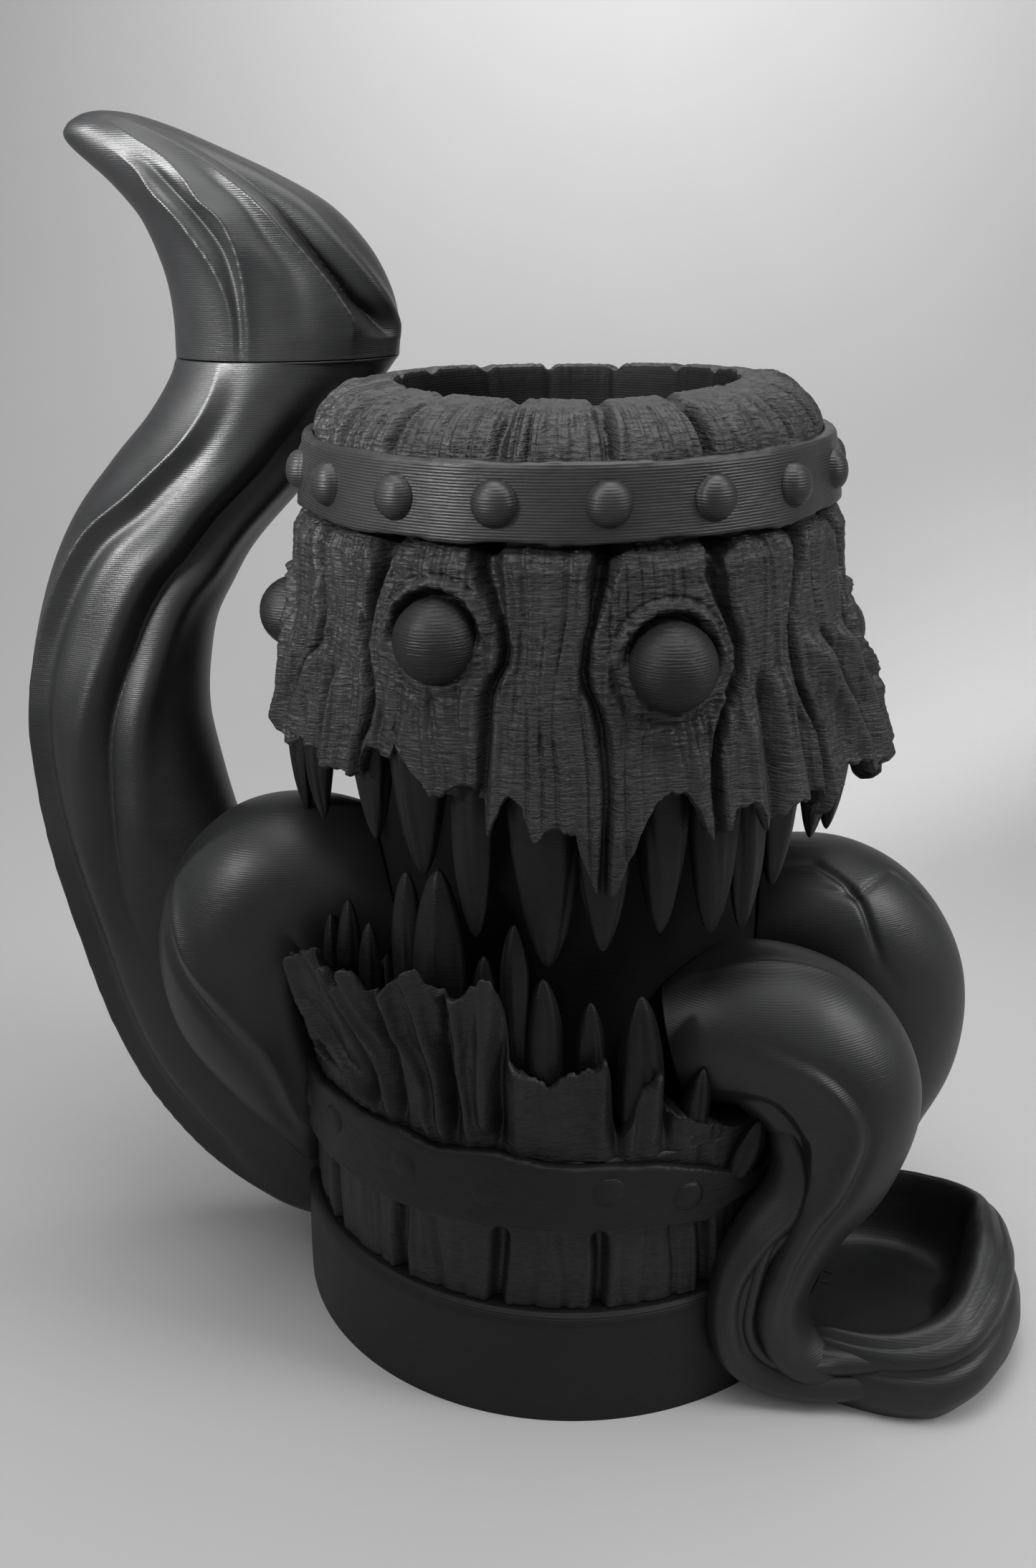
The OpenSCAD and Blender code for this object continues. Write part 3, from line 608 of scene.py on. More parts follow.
def head_surface(a, z):
    r = head_radius(a, z)
    r0 = r.copy()
    p = polar(50.0, a, z)
    x, y = p[..., 0], p[..., 1]
    off, near = planks(a, z, r0)
    below = z < 169.0
    grain = wood(x, y, z, 11)
    off = np.where(below, off + 1.05 * grain, off * 0.9 + 0.75 * grain)
    off += np.where(below, 0.09 * noise(x / 1.6, y / 1.6, z / 0.5, 35) + 0.05 * noise(x / 0.9, y / 0.9, z / 0.45, 36), 0)
    # slow lumps
    off += np.where(below, 0.55 * noise(x / 9, y / 9, z / 14, 31) * smooth((167 - z) / 8), 0.15 * noise(x / 6, y / 6, z / 9, 32))
    # torn plank tops under the hoop
    ztop = 168.7 + 0.45 * noise(x / 3, y / 3, 3.0, 41) - 1.2 * bump(near, 2.4)
    lo = smooth((z - (ztop - 1.3)) / 1.5)
    off = np.where(z < 171, off - (1.6 + 1.2 * bump(near, 2.5)) * lo * (z < 170.4), off)
    # eyes: socket, lids and brow
    for k, (ex, ey, ez, er) in enumerate(EYES):
        ea = math.degrees(math.atan2(ex, -ey))
        er_ = math.hypot(ex, ey)
        u = np.radians(wrap180(a - ea)) * (er_ + 2)
        v = z - ez
        rho = np.hypot(u, v)
        phi = np.degrees(np.arctan2(v, u))
        tilt = (8.0, -14.0, 0.0, 0.0)[k]
        up = 0.5 * (1 + np.tanh((np.sin(np.radians(phi - tilt)) - 0.05) * 4.0))
        near_eye = smooth((er * 2.1 - rho) / (er * 0.7))
        off = off * (1 - 0.7 * smooth((er * 1.35 - rho) / 3.0))
        lid = 0.0
        crease = -2.2 * up * bump(rho - er * 1.07, 0.62) - 0.5 * up * bump(rho - er * 1.5, 0.45)
        brow = 1.25 * up * bump(rho - er * 1.3, 1.1)
        hug = 0.9 * (1 - up) * smooth((er * 1.25 - rho) / 1.5)
        socket = -3.0 * smooth((er * (0.9 - 0.14 * (1 - up)) - rho) / 0.8)
        pouch = (1 - up) * (0.5 * bump(rho - er * 1.55, 1.6) - 0.25 * bump(rho - er * 1.3, 0.8)) * (0.2 if k == 0 else 1.0)
        fine_ = 0.2 * noise(u / 2.0, v / 0.5, k * 3.0, 61) * near_eye
        off += (lid + crease + brow + hug + socket + pouch + fine_) * (rho < er * 3)
    # folded flesh of wood at the corners of the mouth
    for rows, w, h in CHEEKS:
        g = joint_angle([[q[1], q[0]] for q in rows], z)
        zs = [q[1] for q in rows]
        live = smooth((z - min(zs)) / 4 + 0.5) * smooth((max(zs) - z) / 5 + 0.2)
        d = np.radians(wrap180(a - g)) * r0
        off += h * bump(d, w) * live
    return r + off


# [[angle, height] ...], width, height of folds
CHEEKS = [
    ([[-73, 152], [-70, 143], [-70, 136], [-73, 129]], 2.4, 2.0),
    ([[-63, 150], [-66, 142], [-69, 134], [-68, 127]], 1.3, -2.0),
    ([[-55, 148], [-58, 141], [-61, 134], [-60, 127]], 2.2, 2.2),
    ([[-50.5, 146], [-52, 136], [-53.5, 127]], 1.4, -2.6),
    ([[-46, 146], [-47.2, 136], [-46.5, 126]], 1.8, 1.7),
    ([[-35.5, 142], [-35.5, 136], [-36.5, 130]], 1.1, -1.4),
    ([[52.5, 150], [56, 141], [60, 134], [62, 127], [60, 120]], 2.7, 3.1),
    ([[57.5, 150], [61, 142], [65.5, 135], [67, 125]], 1.3, -2.6),
    ([[63, 150], [67, 142], [71, 134], [72, 122]], 2.7, 3.0),
    ([[70, 148], [74, 140], [76.5, 128]], 1.3, -2.4),
    ([[78, 150], [80, 138], [80, 122]], 2.7, 2.7),
    ([[45.5, 139], [45.6, 130], [46.6, 120]], 1.4, -2.2),
    ([[42.2, 146], [42, 133], [42, 121]], 2.0, 1.8),
    ([[37.6, 146], [37.6, 130], [36.8, 118]], 1.4, -2.0),
    ([[33.6, 140], [33.3, 130], [32.5, 121]], 1.7, 1.4),
    ([[22, 136], [22.4, 128], [22.6, 122]], 2.0, 0.9),
    ([[95, 150], [97, 138], [95, 120]], 2.6, 2.0), ([[88, 150], [89, 138], [88, 120]], 1.5, -2.2),
    ([[106, 148], [107, 136], [106, 116]], 1.5, -2.0), ([[114, 148], [112, 130], [114, 112]], 2.4, 1.6),
    ([[-84, 150], [-83, 138], [-84, 126]], 1.5, -2.2), ([[-90, 150], [-91, 138], [-90, 124]], 2.4, 2.0),
    ([[-99, 148], [-98, 136], [-99, 122]], 1.5, -2.0), ([[-107, 148], [-108, 136], [-107, 118]], 2.4, 1.6),
]

print("head")
NU = 1100
ang = np.arange(NU) * 360.0 / NU
zl = lip_edge(ang)
px_, py_ = polar(56.0, ang, 0)[..., 0], polar(56.0, ang, 0)[..., 1]
zl = zl + 0.55 * noise(px_ / 1.1, py_ / 1.1, 0.0, 71) + 0.35 * noise(px_ / 0.6, py_ / 0.6, 0.0, 72)
zl = np.where((ang > 140) & (ang < 224), 92.15, zl)
rows_out = []
# mouth of the mug, crest and shoulder
PROF = [(31.5, 180.0), (31.5, 184.0), (31.55, 187.8), (31.9, 189.2), (32.7, 189.75), (34.2, 189.7), (36.5, 189.25), (38.8, 188.6),
        (41.0, 187.7), (43.0, 186.6), (44.7, 185.2), (46.0, 183.6), (46.9, 181.9), (47.3, 180.4), (47.6, 178.0), (48.0, 175.0), (48.6, 171.0)]
pr_ = np.array(PROF)
seg = np.concatenate([[0], np.cumsum(np.hypot(*np.diff(pr_, axis=0).T))])
sl = np.concatenate([np.linspace(0, 6, 5)[:-1], np.linspace(6, seg[12], 84), np.linspace(seg[12], seg[-1], 12)[1:]])
pc = np.stack([track(np.stack([seg, pr_[:, q]], 1), sl, 1) for q in (0, 1)], 1)
tg = np.gradient(pc, axis=0)
tg /= np.linalg.norm(tg, axis=1)[:, None]
nm = np.stack([-tg[:, 1], tg[:, 0]], 1)
X = []
for k in range(len(sl)):
    r, z = pc[k]
    q = polar(50.0, ang, 0)
    qx, qy = q[..., 0], q[..., 1]
    out_ = smooth((sl[k] - 14.0) / 4.5)
    top_ = smooth((sl[k] - 8.5) / 2.0)
    low_ = smooth((184.0 - z) / 4.0) * (r > 46)
    off, near = planks(ang, np.full(NU, 186.0), np.full(NU, r + 2.0))
    grain = 0.42 * noise(qx / 1.15, qy / 1.15, sl[k] / 13.0, 81) + 0.3 * noise(qx / 0.62, qy / 0.62, sl[k] / 5.0, 82) \
        - 0.5 * bump(noise(qx / 2.6, qy / 2.6, sl[k] / 20.0, 83), 0.15) + 0.35 * noise(qx / 5.0, qy / 5.0, 2.0, 84)
    rough = 0.14 * noise(qx / 0.9, qy / 0.9, sl[k] / 0.5, 85)
    off = (0.12 + 0.3 * top_ + 0.7 * out_) * off + (0.06 + 0.12 * top_ + 0.95 * out_) * grain + rough * (0.25 + 0.75 * out_)
    off = off * (1 - 0.85 * low_)
    rise = 1.1 * np.sin(np.radians(ang)) ** 2 * smooth((z - 183) / 6)
    R = r + off * nm[k, 0]
    Z = z + off * nm[k, 1] + rise
    X.append(polar(np.maximum(R, 31.35) if r > 31.55 or z > 181 else np.full(NU, r), ang, np.minimum(Z, 191.9)))
nz = 300
s = np.linspace(0, 1, nz)
s = s ** 0.97
for k in range(nz):
    Z = 170.0 + (zl - 170.0) * s[k]
    R = head_surface(ang, Z)
    # the torn edge thins and rounds
    e = smooth((s[k] - 0.985) / 0.015)
    X.append(polar(R - 0.9 * e, ang, Z))
edge_r = head_surface(ang, zl)
thick = 2.6
for d, dz in ((1.4, 0.15), (2.0, 0.5), (2.7, 1.2), (3.2, 2.6), (3.6, 5.0)):
    Z = zl + dz
    X.append(polar(np.minimum(head_radius(ang, Z), edge_r + 0.3) - d, ang, Z))
roof = 126.5 + 10.5 * smooth((wrap180(ang) + 43.5) / 2.5) * smooth((-26.0 - wrap180(ang)) / 2.5)
for f in (0.35, 0.7, 1.0):
    Z = (zl + 5.0) * (1 - f) + np.maximum(roof, 126.5) * f
    X.append(polar(head_radius(ang, Z) - 3.8, ang, Z))
X.append(polar(np.full(NU, 46.0), ang, roof + 0.2))
for r, z in ((39.25, 127.5), (39.25, 150.0), (39.25, 176.1), (36.1, 176.1), (33.4, 179.0)):
    Z = np.maximum(z, roof + 1.0) if z < 140 else np.full(NU, z)
    X.append(polar(np.full(NU, r), ang, Z))
X = np.array(X)
head = join_parts("upper_head_staves", [ring_part(X)])
finish_piece(head, "staves", ["upper_head"])
# painted shade: faces on the mug's inner wall, within 32.1 mm of the axis and above 140 mm, get the near-black inner
# material
head.data.materials.append(MAT["inner"])
co_ = np.empty(len(head.data.vertices) * 3)
head.data.vertices.foreach_get("co", co_)
co_ = co_.reshape(-1, 3)
for f_ in head.data.polygons:
    c_ = co_[list(f_.vertices)].mean(0)
    if math.hypot(c_[0], c_[1]) < 0.0321 and c_[2] > 0.14:
        f_.material_index = len(head.data.materials) - 1

# ---------------------------------------------------------------- lower jaw
print("jaw")
JAW_RIM = [[0, 82, 3.5], [26, 76, 3], [38, 62, 1], [48, 57.8, 0], [74, 57.8, 0], [128, 57.8, 0], [142, 91.7, .5],
           [222, 91.7, .5], [236, 57.8, 0], [284, 62, 1.5], [296, 80, 6.6], [318, 86, 6.2], [340, 84, 4.8]]
SPLINTERS = [[-76, 61], [-70, 70], [-67, 78], [-64, 84], [-62, 86], [-58, 87], [-55.8, 89.4], [-53, 91], [-49.4, 92], [-47.8, 88],
             [-46.2, 90.5], [-45, 86], [-42.5, 90], [-40.8, 91.6], [-38.6, 92.8], [-37.9, 88.2], [-35, 88.5], [-32.9, 89.3],
             [-30.7, 92.5], [-28.3, 94.6], [-26.5, 96.5], [-25.0, 97], [-24.4, 93.8], [-22.9, 92], [-20.4, 91.6],
             [-18.0, 91.6], [-15.8, 94.6], [-13.6, 96.4], [-12.6, 96.2], [-11.9, 92], [-11.2, 84.5], [-10.8, 78.5],
             [-9.1, 76.4], [-6.6, 74.4], [-3.5, 72.6], [-0.9, 75.2], [2.2, 76.2], [4.7, 77.2], [6.8, 78.8], [7.8, 76],
             [8.4, 70], [9, 63.5], [10, 60.5], [12, 66.2], [14.1, 71.4], [17.3, 74.6], [18.6, 69.8], [19.8, 64.7],
             [23, 63.8], [25.6, 62], [29.8, 60.5], [34, 58.4], [38, 57.8], [128, 57.8], [133, 70], [137, 84], [142, 91.8],
             [222, 91.8], [227, 84], [232, 68], [236, 57.8], [280, 57.8]]


def jaw_edge(a):
    w = wrap180(a)
    rows = sorted([[wrap180(p[0]), p[1]] for p in SPLINTERS])
    x = np.array([r[0] for r in rows], float)
    y = np.array([r[1] for r in rows], float)
    x = np.concatenate([[x[-1] - 360], x, [x[0] + 360]])
    y = np.concatenate([[y[-1]], y, [y[0]]])
    return np.maximum(57.7, np.interp(w, x, y))


# creases between splinters: [[height, angle] ...]
CREASES = [
    [[84.2, -70], [75, -68], [65.7, -60.5], [62, -51.5], [57, -44.5]], [[81.9, -50.2], [72.4, -44.7], [65.7, -42.1], [57, -40.5]],
    [[87.5, -36.2], [75.9, -35.3], [58.6, -34.3], [57, -34.2]],
    [[92, -22.2], [89.2, -21.2], [79.5, -22.4], [60.2, -22.2], [57, -22.2]], [[97, -11.6], [84, -11.4], [75, -12.6], [57, -13.4]],
    [[66, 9.0], [57, 9.4]], [[70, 19.2], [57, 19.0]],
    [[96, 146], [57, 146]], [[96, 157], [57, 156]],
    [[96, 169], [57, 170]], [[96, 180], [57, 180]], [[96, 192], [57, 191]], [[96, 204], [57, 204]], [[96, 215], [57, 216]],
]
FOLDS = [([[92, -58], [87.1, -59.2], [77.1, -60.7], [69.4, -54.1], [65.9, -46.9], [59.3, -41.4]], 1.1, 1.7),
         ([[84.2, -76.8], [74, -70], [65.7, -64.0], [63.3, -55.5], [61.2, -48.3]], 1.0, 1.3),
         ([[90, -47.0], [83.2, -44.3], [73.6, -38.7], [60.8, -37.2]], 1.0, 1.1),
         ([[92, -40.8], [86, -40.2], [78, -36.9]], 0.8, 0.9),
         ([[92, -32.2], [88.6, -31.8], [80.2, -32.0], [75.5, -29.9], [68.5, -27.9], [59.8, -27.7]], 0.8, 1.7),
         ([[96.0, -27.2], [86.0, -26.0], [76.7, -25.4], [60.7, -24.5]], 0.9, 1.4),
         ([[92, -19.4], [81.3, -19.0], [74.7, -20.4], [66.3, -19.4], [57, -19]], 0.9, 1.2),
         ([[96, -13.2], [84.2, -14.1], [75.7, -15.4], [64.9, -15.9]], 1.1, 1.6), ([[76, -8.8], [57, -9.4]], 1.2, 0.9),
         ([[76, -1], [57, -1.4]], 2.6, 0.5), ([[79, 6.4], [57, 5.8]], 1.2, 0.9), ([[74, 16.2], [57, 15.6]], 1.5, 1.5),
         ([[72, 12], [57, 11.6]], 0.8, 0.9), ([[64, 23], [57, 22.6]], 1.4, 0.6), ([[63, 28], [57, 28]], 1.4, 0.5)]


def jaw_surface(a, z):
    fl = around(JAW_RIM, a, 2)
    r = 55.2 + fl * (np.maximum(0, z - 57) / 31) ** 1.9
    p = polar(r, a, z)
    x, y = p[..., 0], p[..., 1]
    off = 0.26 * wood(x, y, z, 111) + 0.07 * noise(x / 1.2, y / 1.2, z / 0.5, 112)
    k = smooth((z - 57) / 7)
    for i, rows in enumerate(CREASES):
        g = joint_angle(rows, z)
        d = np.radians(wrap180(a - g)) * 55
        off -= (0.8 + 2.0 * k) * np.exp(-np.abs(d / 1.1) ** 1.7)
    for rows, w, h in FOLDS:
        g = joint_angle(rows, z)
        d = np.radians(wrap180(a - g)) * 55
        zs = [q[0] for q in rows]
        off += (0.45 + 1.0 * k) * h * bump(d, w + 0.2) * smooth((z - min(zs)) / 5 + 1.0) * smooth((max(zs) - z) / 6 + 1.0)
    off += 0.8 * noise(x / 5, y / 5, z / 12, 121) * k
    return r + off


NJ = 1000
ang = np.arange(NJ) * 360.0 / NJ
q_ = polar(56.0, ang, 0)
ze = jaw_edge(ang) + np.where(jaw_edge(ang) > 60, 0.5 * noise(q_[..., 0] / 0.9, q_[..., 1] / 0.9, 0.0, 131)
                              + 0.3 * noise(q_[..., 0] / 0.5, q_[..., 1] / 0.5, 0.0, 132), 0)
ze = np.where((ang > 142) & (ang < 222), 91.8, ze)
X = []
X.append(polar(np.full(NJ, 46.5), ang, np.full(NJ, 57.05)))
for s_ in np.linspace(0, 1, 120):
    Z = 57.05 + (ze - 57.05) * s_
    R = jaw_surface(ang, Z)
    R = R - 0.55 * smooth((s_ - 0.97) / 0.03)
    X.append(polar(R, ang, Z))
top_r = jaw_surface(ang, ze)
lz_ = np.minimum(64.0, ze - 0.25)
for d, f in ((1.0, 0.0), (1.7, 0.04), (2.3, 0.2), (2.8, 0.5), (3.2, 0.85), (3.6, 1.0)):
    Z = ze + (lz_ - ze) * f
    base = 55.2 + around(JAW_RIM, ang, 2) * (np.maximum(0, Z - 57) / 31) ** 1.9
    X.append(polar(np.maximum(46.8, np.minimum(base, top_r + 0.4) - d), ang, Z))
X.append(polar(np.full(NJ, 46.5), ang, lz_))
X = np.array(X)
jaw = join_parts("lower_jaw_splinters", [ring_part(X, flip=True)])
# painted shade: the jaw takes the darker copy of the plastic
finish_piece(jaw, "jaw", ["lower_jaw"])

# ---------------------------------------------------------------- barrel staves with the doorway
print("barrel")
DOOR = 70.0
DOOR_HALF = 16.0
NB, MB = 900, 70
half_out = math.degrees(math.asin(DOOR_HALF / 55.4))
half_in = math.degrees(math.asin(DOOR_HALF / 51.0))


def door_columns(n, half, n_in):
    """Angles round the ring with n_in cells across the doorway of the given half angle."""
    inside = DOOR + np.linspace(-half, half, n_in + 1)
    rest = np.linspace(half, 360 - half, n - n_in + 1)[1:-1] + DOOR
    return np.concatenate([inside, rest])


ncell = 84
a_out = door_columns(NB, half_out, ncell)
a_in = door_columns(NB, half_in, ncell)
zb = np.unique(np.concatenate([np.linspace(24.05, 42, 46), np.linspace(42, 57.0, 26)]))
A, Z = np.meshgrid(a_out, zb)
r0 = 55.1
p = polar(r0, A, Z)
x, y = p[..., 0], p[..., 1]
off = 0.25 * wood(x, y, Z, 211)
WIDE = [-58.4, -36.0, -14.1, 5.6, 28.0, 118.0, 141.0, 163.0, 186.0, 208.0, 231.0, 254.0, 277.0]
THIN = [-50.5, -43.0, -27.4, -21.0, -6.8, -1.5, 10.8, 15.4, 21.0, 34.0, 41.0, 48.0, 56.0, 92.0, 100.0, 109.0, 126.0, 133.0, 149.0, 156.0,
        171.0, 178.0, 193.0, 200.0, 216.0, 223.0, 239.0, 246.0, 262.0, 269.0, 285.0, 293.0]
for k, g0 in enumerate(WIDE):
    g = g0 + 0.7 * np.sin(Z / 7 + k)
    d = np.radians(wrap180(A - g)) * r0
    off -= 2.4 * np.exp(-np.abs(d / 1.45) ** 2.6)
    off += 0.35 * bump(np.abs(d) - 2.3, 0.7)
for k, g0 in enumerate(THIN):
    g = g0 + 0.6 * np.sin(Z / 6 + k * 2)
    d = np.radians(wrap180(A - g)) * r0
    off -= (0.25 + 0.22 * ((k * 7) % 3)) * bump(d, 0.55 + 0.12 * ((k * 5) % 3))
off += 0.15 * noise(x / 1.6, y / 1.6, Z / 16, 215)
off *= 1 - 0.8 * smooth((Z - 39.5) / 2) * smooth((58.5 - Z) / 2)
Ro = r0 + off
A2, Z2 = np.meshgrid(a_in, zb)
O_ = polar(Ro, A, Z)
I_ = polar(np.full(A2.shape, 51.0), A2, Z2)
keep = np.ones((len(zb) - 1, NB), bool)
keep[:, :ncell] = (0.5 * (zb[1:] + zb[:-1]) > 42.0)[:, None]
barrel = join_parts("lower_barrel_staves", [sheet_part(O_, I_, keep)])
# painted shade: the barrel takes the jaw's darker copy of the plastic
finish_piece(barrel, "jaw", ["lower_barrel"])

# ---------------------------------------------------------------- hoops
print("hoops")


def upper_hoop_shape(A, R, Z):
    q = polar(50.0, A, 0)
    n = noise(q[..., 0] / 9, q[..., 1] / 9, 0.0, 301)
    n2 = noise(q[..., 0] / 2.2, q[..., 1] / 2.2, 0.0, 302)
    low = smooth((172.0 - Z) / 3.0)
    high = smooth((Z - 180.0) / 2.0)
    Z = Z - low * (0.55 * n + 0.16 * n2) + high * (0.3 * n + 0.12 * n2)
    outer = R > 48.3
    R = R + np.where(outer, 0.18 * n * np.ones_like(Z) + 0.05 * noise(q[..., 0] / 3, q[..., 1] / 3, Z / 0.7, 303), 0)
    R = R + np.where(outer, 0.55 * smooth((wrap180(A - 62)) / 8) * smooth((100 - wrap180(A)) / 20) * (np.abs(wrap180(A)) < 120), 0)
    return R, Z


prof = fine([[47.4, 182.0], [47.6, 169.3], [49.2, 169.3], [50.4, 169.35], [50.75, 169.7], [50.7, 170.4], [49.2, 181.2],
             [48.9, 181.75], [48.5, 182.0]], 0.5)
hoop_u = join_parts("upper_hoop_band", [lathe_part(prof, 720, upper_hoop_shape)])
# painted light: the upper band takes the lighter copy of the hoop plastic
finish_piece(hoop_u, "hoops", ["upper_hoop"])


HOOP_TOP = np.array([[-180, 57.2], [-62, 57.6], [-53, 58], [-43.6, 58], [-33.6, 58.5], [-29.5, 57.7], [-25.4, 57.1], [-19.1, 58.3],
                     [-13.7, 58.7], [-7.9, 57.5], [-3, 56.8], [1.1, 56.6], [7.6, 56.6], [17.6, 55.6], [26.2, 52.7], [33.8, 49.6],
                     [40.5, 47.6], [48, 50], [56, 57.0], [180, 57.2]])
HOOP_BOT = np.array([[-180, 41.0], [-62, 41.2], [-34, 41.9], [-19.6, 42.7], [3.7, 43.2], [18, 42.2], [27.4, 40.9], [33.3, 43.6],
                     [42.1, 44.6], [50, 42], [56, 41.2], [180, 41.0]])


def lower_hoop_shape(A, R, Z):
    q = polar(56.0, A, 0)
    n = noise(q[..., 0] / 8, q[..., 1] / 8, 0.0, 311)
    n2 = noise(q[..., 0] / 2.5, q[..., 1] / 2.5, 0.0, 312)
    w = wrap180(A)
    f = smooth((Z - 41.0) / 16.2)
    top = np.interp(w, HOOP_TOP[:, 0], HOOP_TOP[:, 1])
    bot = np.interp(w, HOOP_BOT[:, 0], HOOP_BOT[:, 1])
    tt = np.clip((Z - 41.0) / 16.2, 0, 1)
    front = (w > -62) & (w < 44)
    Zf = bot + tt * (top - bot) + (2 * tt - 1) * 0.12 * n2
    Zb = Z + (2 * tt - 1) * (0.35 * n + 0.15 * n2)
    k_ = smooth((w + 62) / 6) * smooth((48 - w) / 6)
    Z = Zb * (1 - k_) + Zf * k_
    R = R + np.where(R > 56.3, 0.16 * n + 0.05 * noise(q[..., 0] / 3, q[..., 1] / 3, Z / 0.7, 313), 0)
    return R, Z


prof = fine([[55.3, 57.2], [55.3, 41.0], [56.6, 41.0], [57.1, 41.5], [57.15, 42.2], [57.1, 55.9], [56.95, 56.8], [56.4, 57.2]], 0.5)
hoop_l = join_parts("lower_hoop_band", [lathe_part(prof, 720, lower_hoop_shape)])
# painted shade: the lower band takes the darker copy of the hoop plastic
finish_piece(hoop_l, "hoop_painted_shade", ["lower_hoop"])


def rivet_part(centre, normal, r, h, seed):
    nu, nv = 40, 14
    n = np.array(normal, float)
    n /= np.linalg.norm(n)
    u = np.cross([0, 0, 1.0], n)
    u /= np.linalg.norm(u)
    v = np.cross(n, u)
    ph = np.arange(nu) * 2 * PI / nu
    rings = []
    for k in range(nv):
        f = k / (nv - 1)
        if k == 0:
            rr, hh = r * 1.0, -0.8
        elif k == 1:
            rr, hh = r * 1.04, 0.0
        else:
            th = (k - 1) / (nv - 1.6) * PI / 2
            rr, hh = r * math.cos(th) ** 0.9 * (1.0 if th < 0.1 else 0.97), h * math.sin(th)
        wob = 1 + 0.03 * noise(np.cos(ph) * 1.5, np.sin(ph) * 1.5, seed + f, 401)
        ring = np.array(centre)[None] + u[None] * (rr * wob * np.cos(ph))[:, None] + v[None] * (rr * wob * np.sin(ph))[:, None] + n[None] * hh
        rings.append(ring)
    return tube_part(np.array(rings))


parts = []
for i in range(17):
    if i in (11, 12):
        continue
    a = -13.5 + i * 360 / 17
    tilt = math.radians(8)
    c = polar(49.95, a, 175.6)
    nrm = polar(math.cos(tilt), a, math.sin(tilt))
    parts.append(rivet_part(c, nrm, 3.75, 2.7, i))
riv = join_parts("upper_hoop_domes", parts)
finish_piece(riv, "hoops", ["upper_hoop_rivets"])
parts = []
BELOW = [(-54, 52.0), (-33, 51.2), (-15.4, 49.8), (7.5, 51.6), (23, 47.8)] + [(wrap180(a_), 49.2) for a_ in np.arange(120, 290, 21.2)]
for i, (a, z) in enumerate(BELOW):
    parts.append(rivet_part(polar(57.0, a, z), polar(1.0, a, 0.0), 3.0, 0.75, 50 + i))
riv = join_parts("lower_hoop_domes", parts)
# painted shade: the lower domes take the darker copy of the hoop plastic
finish_piece(riv, "hoop_painted_shade", ["lower_hoop_rivets"])

# ---------------------------------------------------------------- teeth
print("teeth")


def tooth_part(root, tip, r0, bend, seed, squash_=0.8, blunt=3.6, nu=56, nv=80):
    """A grooved cone from root to tip, bent sideways, with a blunt point."""
    root, tip = np.array(root, float), np.array(tip, float)
    ax = tip - root
    length = np.linalg.norm(ax)
    ax /= length
    rad = np.array([root[0], root[1], 0.0])
    rad /= np.linalg.norm(rad)
    side = np.cross(rad, ax)
    side /= np.linalg.norm(side)
    out = np.cross(ax, side)
    t = np.linspace(0, 1, nv) ** 0.7
    ph = np.arange(nu) * 2 * PI / nu
    X = np.zeros((nv, nu, 3))
    for k, tt in enumerate(t):
        u = min(1.0, (1 - tt) * length / (blunt * r0))
        rr = max(0.02, r0 * (1 - (1 - u) ** 2) ** 0.62 * (1 - 0.1 * smooth(np.array(((1 - tt) * length - blunt * r0) / 12.0))))
        c = root + ax * (length * tt) + side * (bend[0] * math.sin(tt * PI / 2) ** 2) + out * (bend[1] * math.sin(tt * PI) * 0.6)
        groove = 0.0
        for j in range(7):
            pj = 2 * PI * j / 7 + 0.5 * math.sin(seed * 1.3 + j * 2.1) + 0.25 * math.sin(tt * 3 + j)
            d = (ph - pj + PI) % (2 * PI) - PI
            groove = groove - (0.035 + 0.03 * ((j * 5 + seed) % 3)) * np.exp(-(d / 0.16) ** 2)
        rg = rr * (1 + 0.05 * np.cos(5 * ph + seed) + groove * smooth(np.array((1 - tt) / 0.25)) + 0.02 * noise(np.cos(ph) * 2, np.sin(ph) * 2, tt * 3 + seed, 501))
        X[k] = c + side * (rg * np.cos(ph))[:, None] + out * (rg * squash_ * np.sin(ph))[:, None]
    return tube_part(X, flip=True)


LOW = [(-62, 51.5, 92, 2.2, 64.15, -1.5), (-54, 51, 98, 2.9, 64.15, 0.4), (-45.5, 51.4, 96.0, 2.3, 64.15, 0.0),
       (-34.5, 50.8, 109, 3.0, 64.15, 0.2), (-26.5, 50.4, 111, 5.0, 64.15, -0.8), (-17, 50.6, 95.5, 2.3, 64.15, 0.0),
       (-10.6, 50.6, 102.3, 2.5, 64.15, 0.0), (-5.0, 50.6, 92.0, 3.6, 64.15, 0.0), (4.5, 50.6, 87.3, 2.6, 64.15, 0.0),
       (14.6, 51.3, 88.2, 4.2, 64.15, 0.0), (25.4, 52.2, 71.2, 3.0, 59.0, 6.0)]
parts = []
for i, (a, R, zt, r, foot, lean) in enumerate(LOW):
    parts.append(tooth_part(polar(R, a, foot - 0.6), polar(R + 0.3, a + lean * 0.5, zt), r * 1.06, (0.0, 0.5), i, blunt=4.4))
parts.append(tooth_part(polar(55.6, 35.0, 48.5), polar(57.6, 38.8, 59.4), 2.9, (0.0, 0.4), 12, blunt=2.8))
teeth = join_parts("lower_teeth_cones", parts)
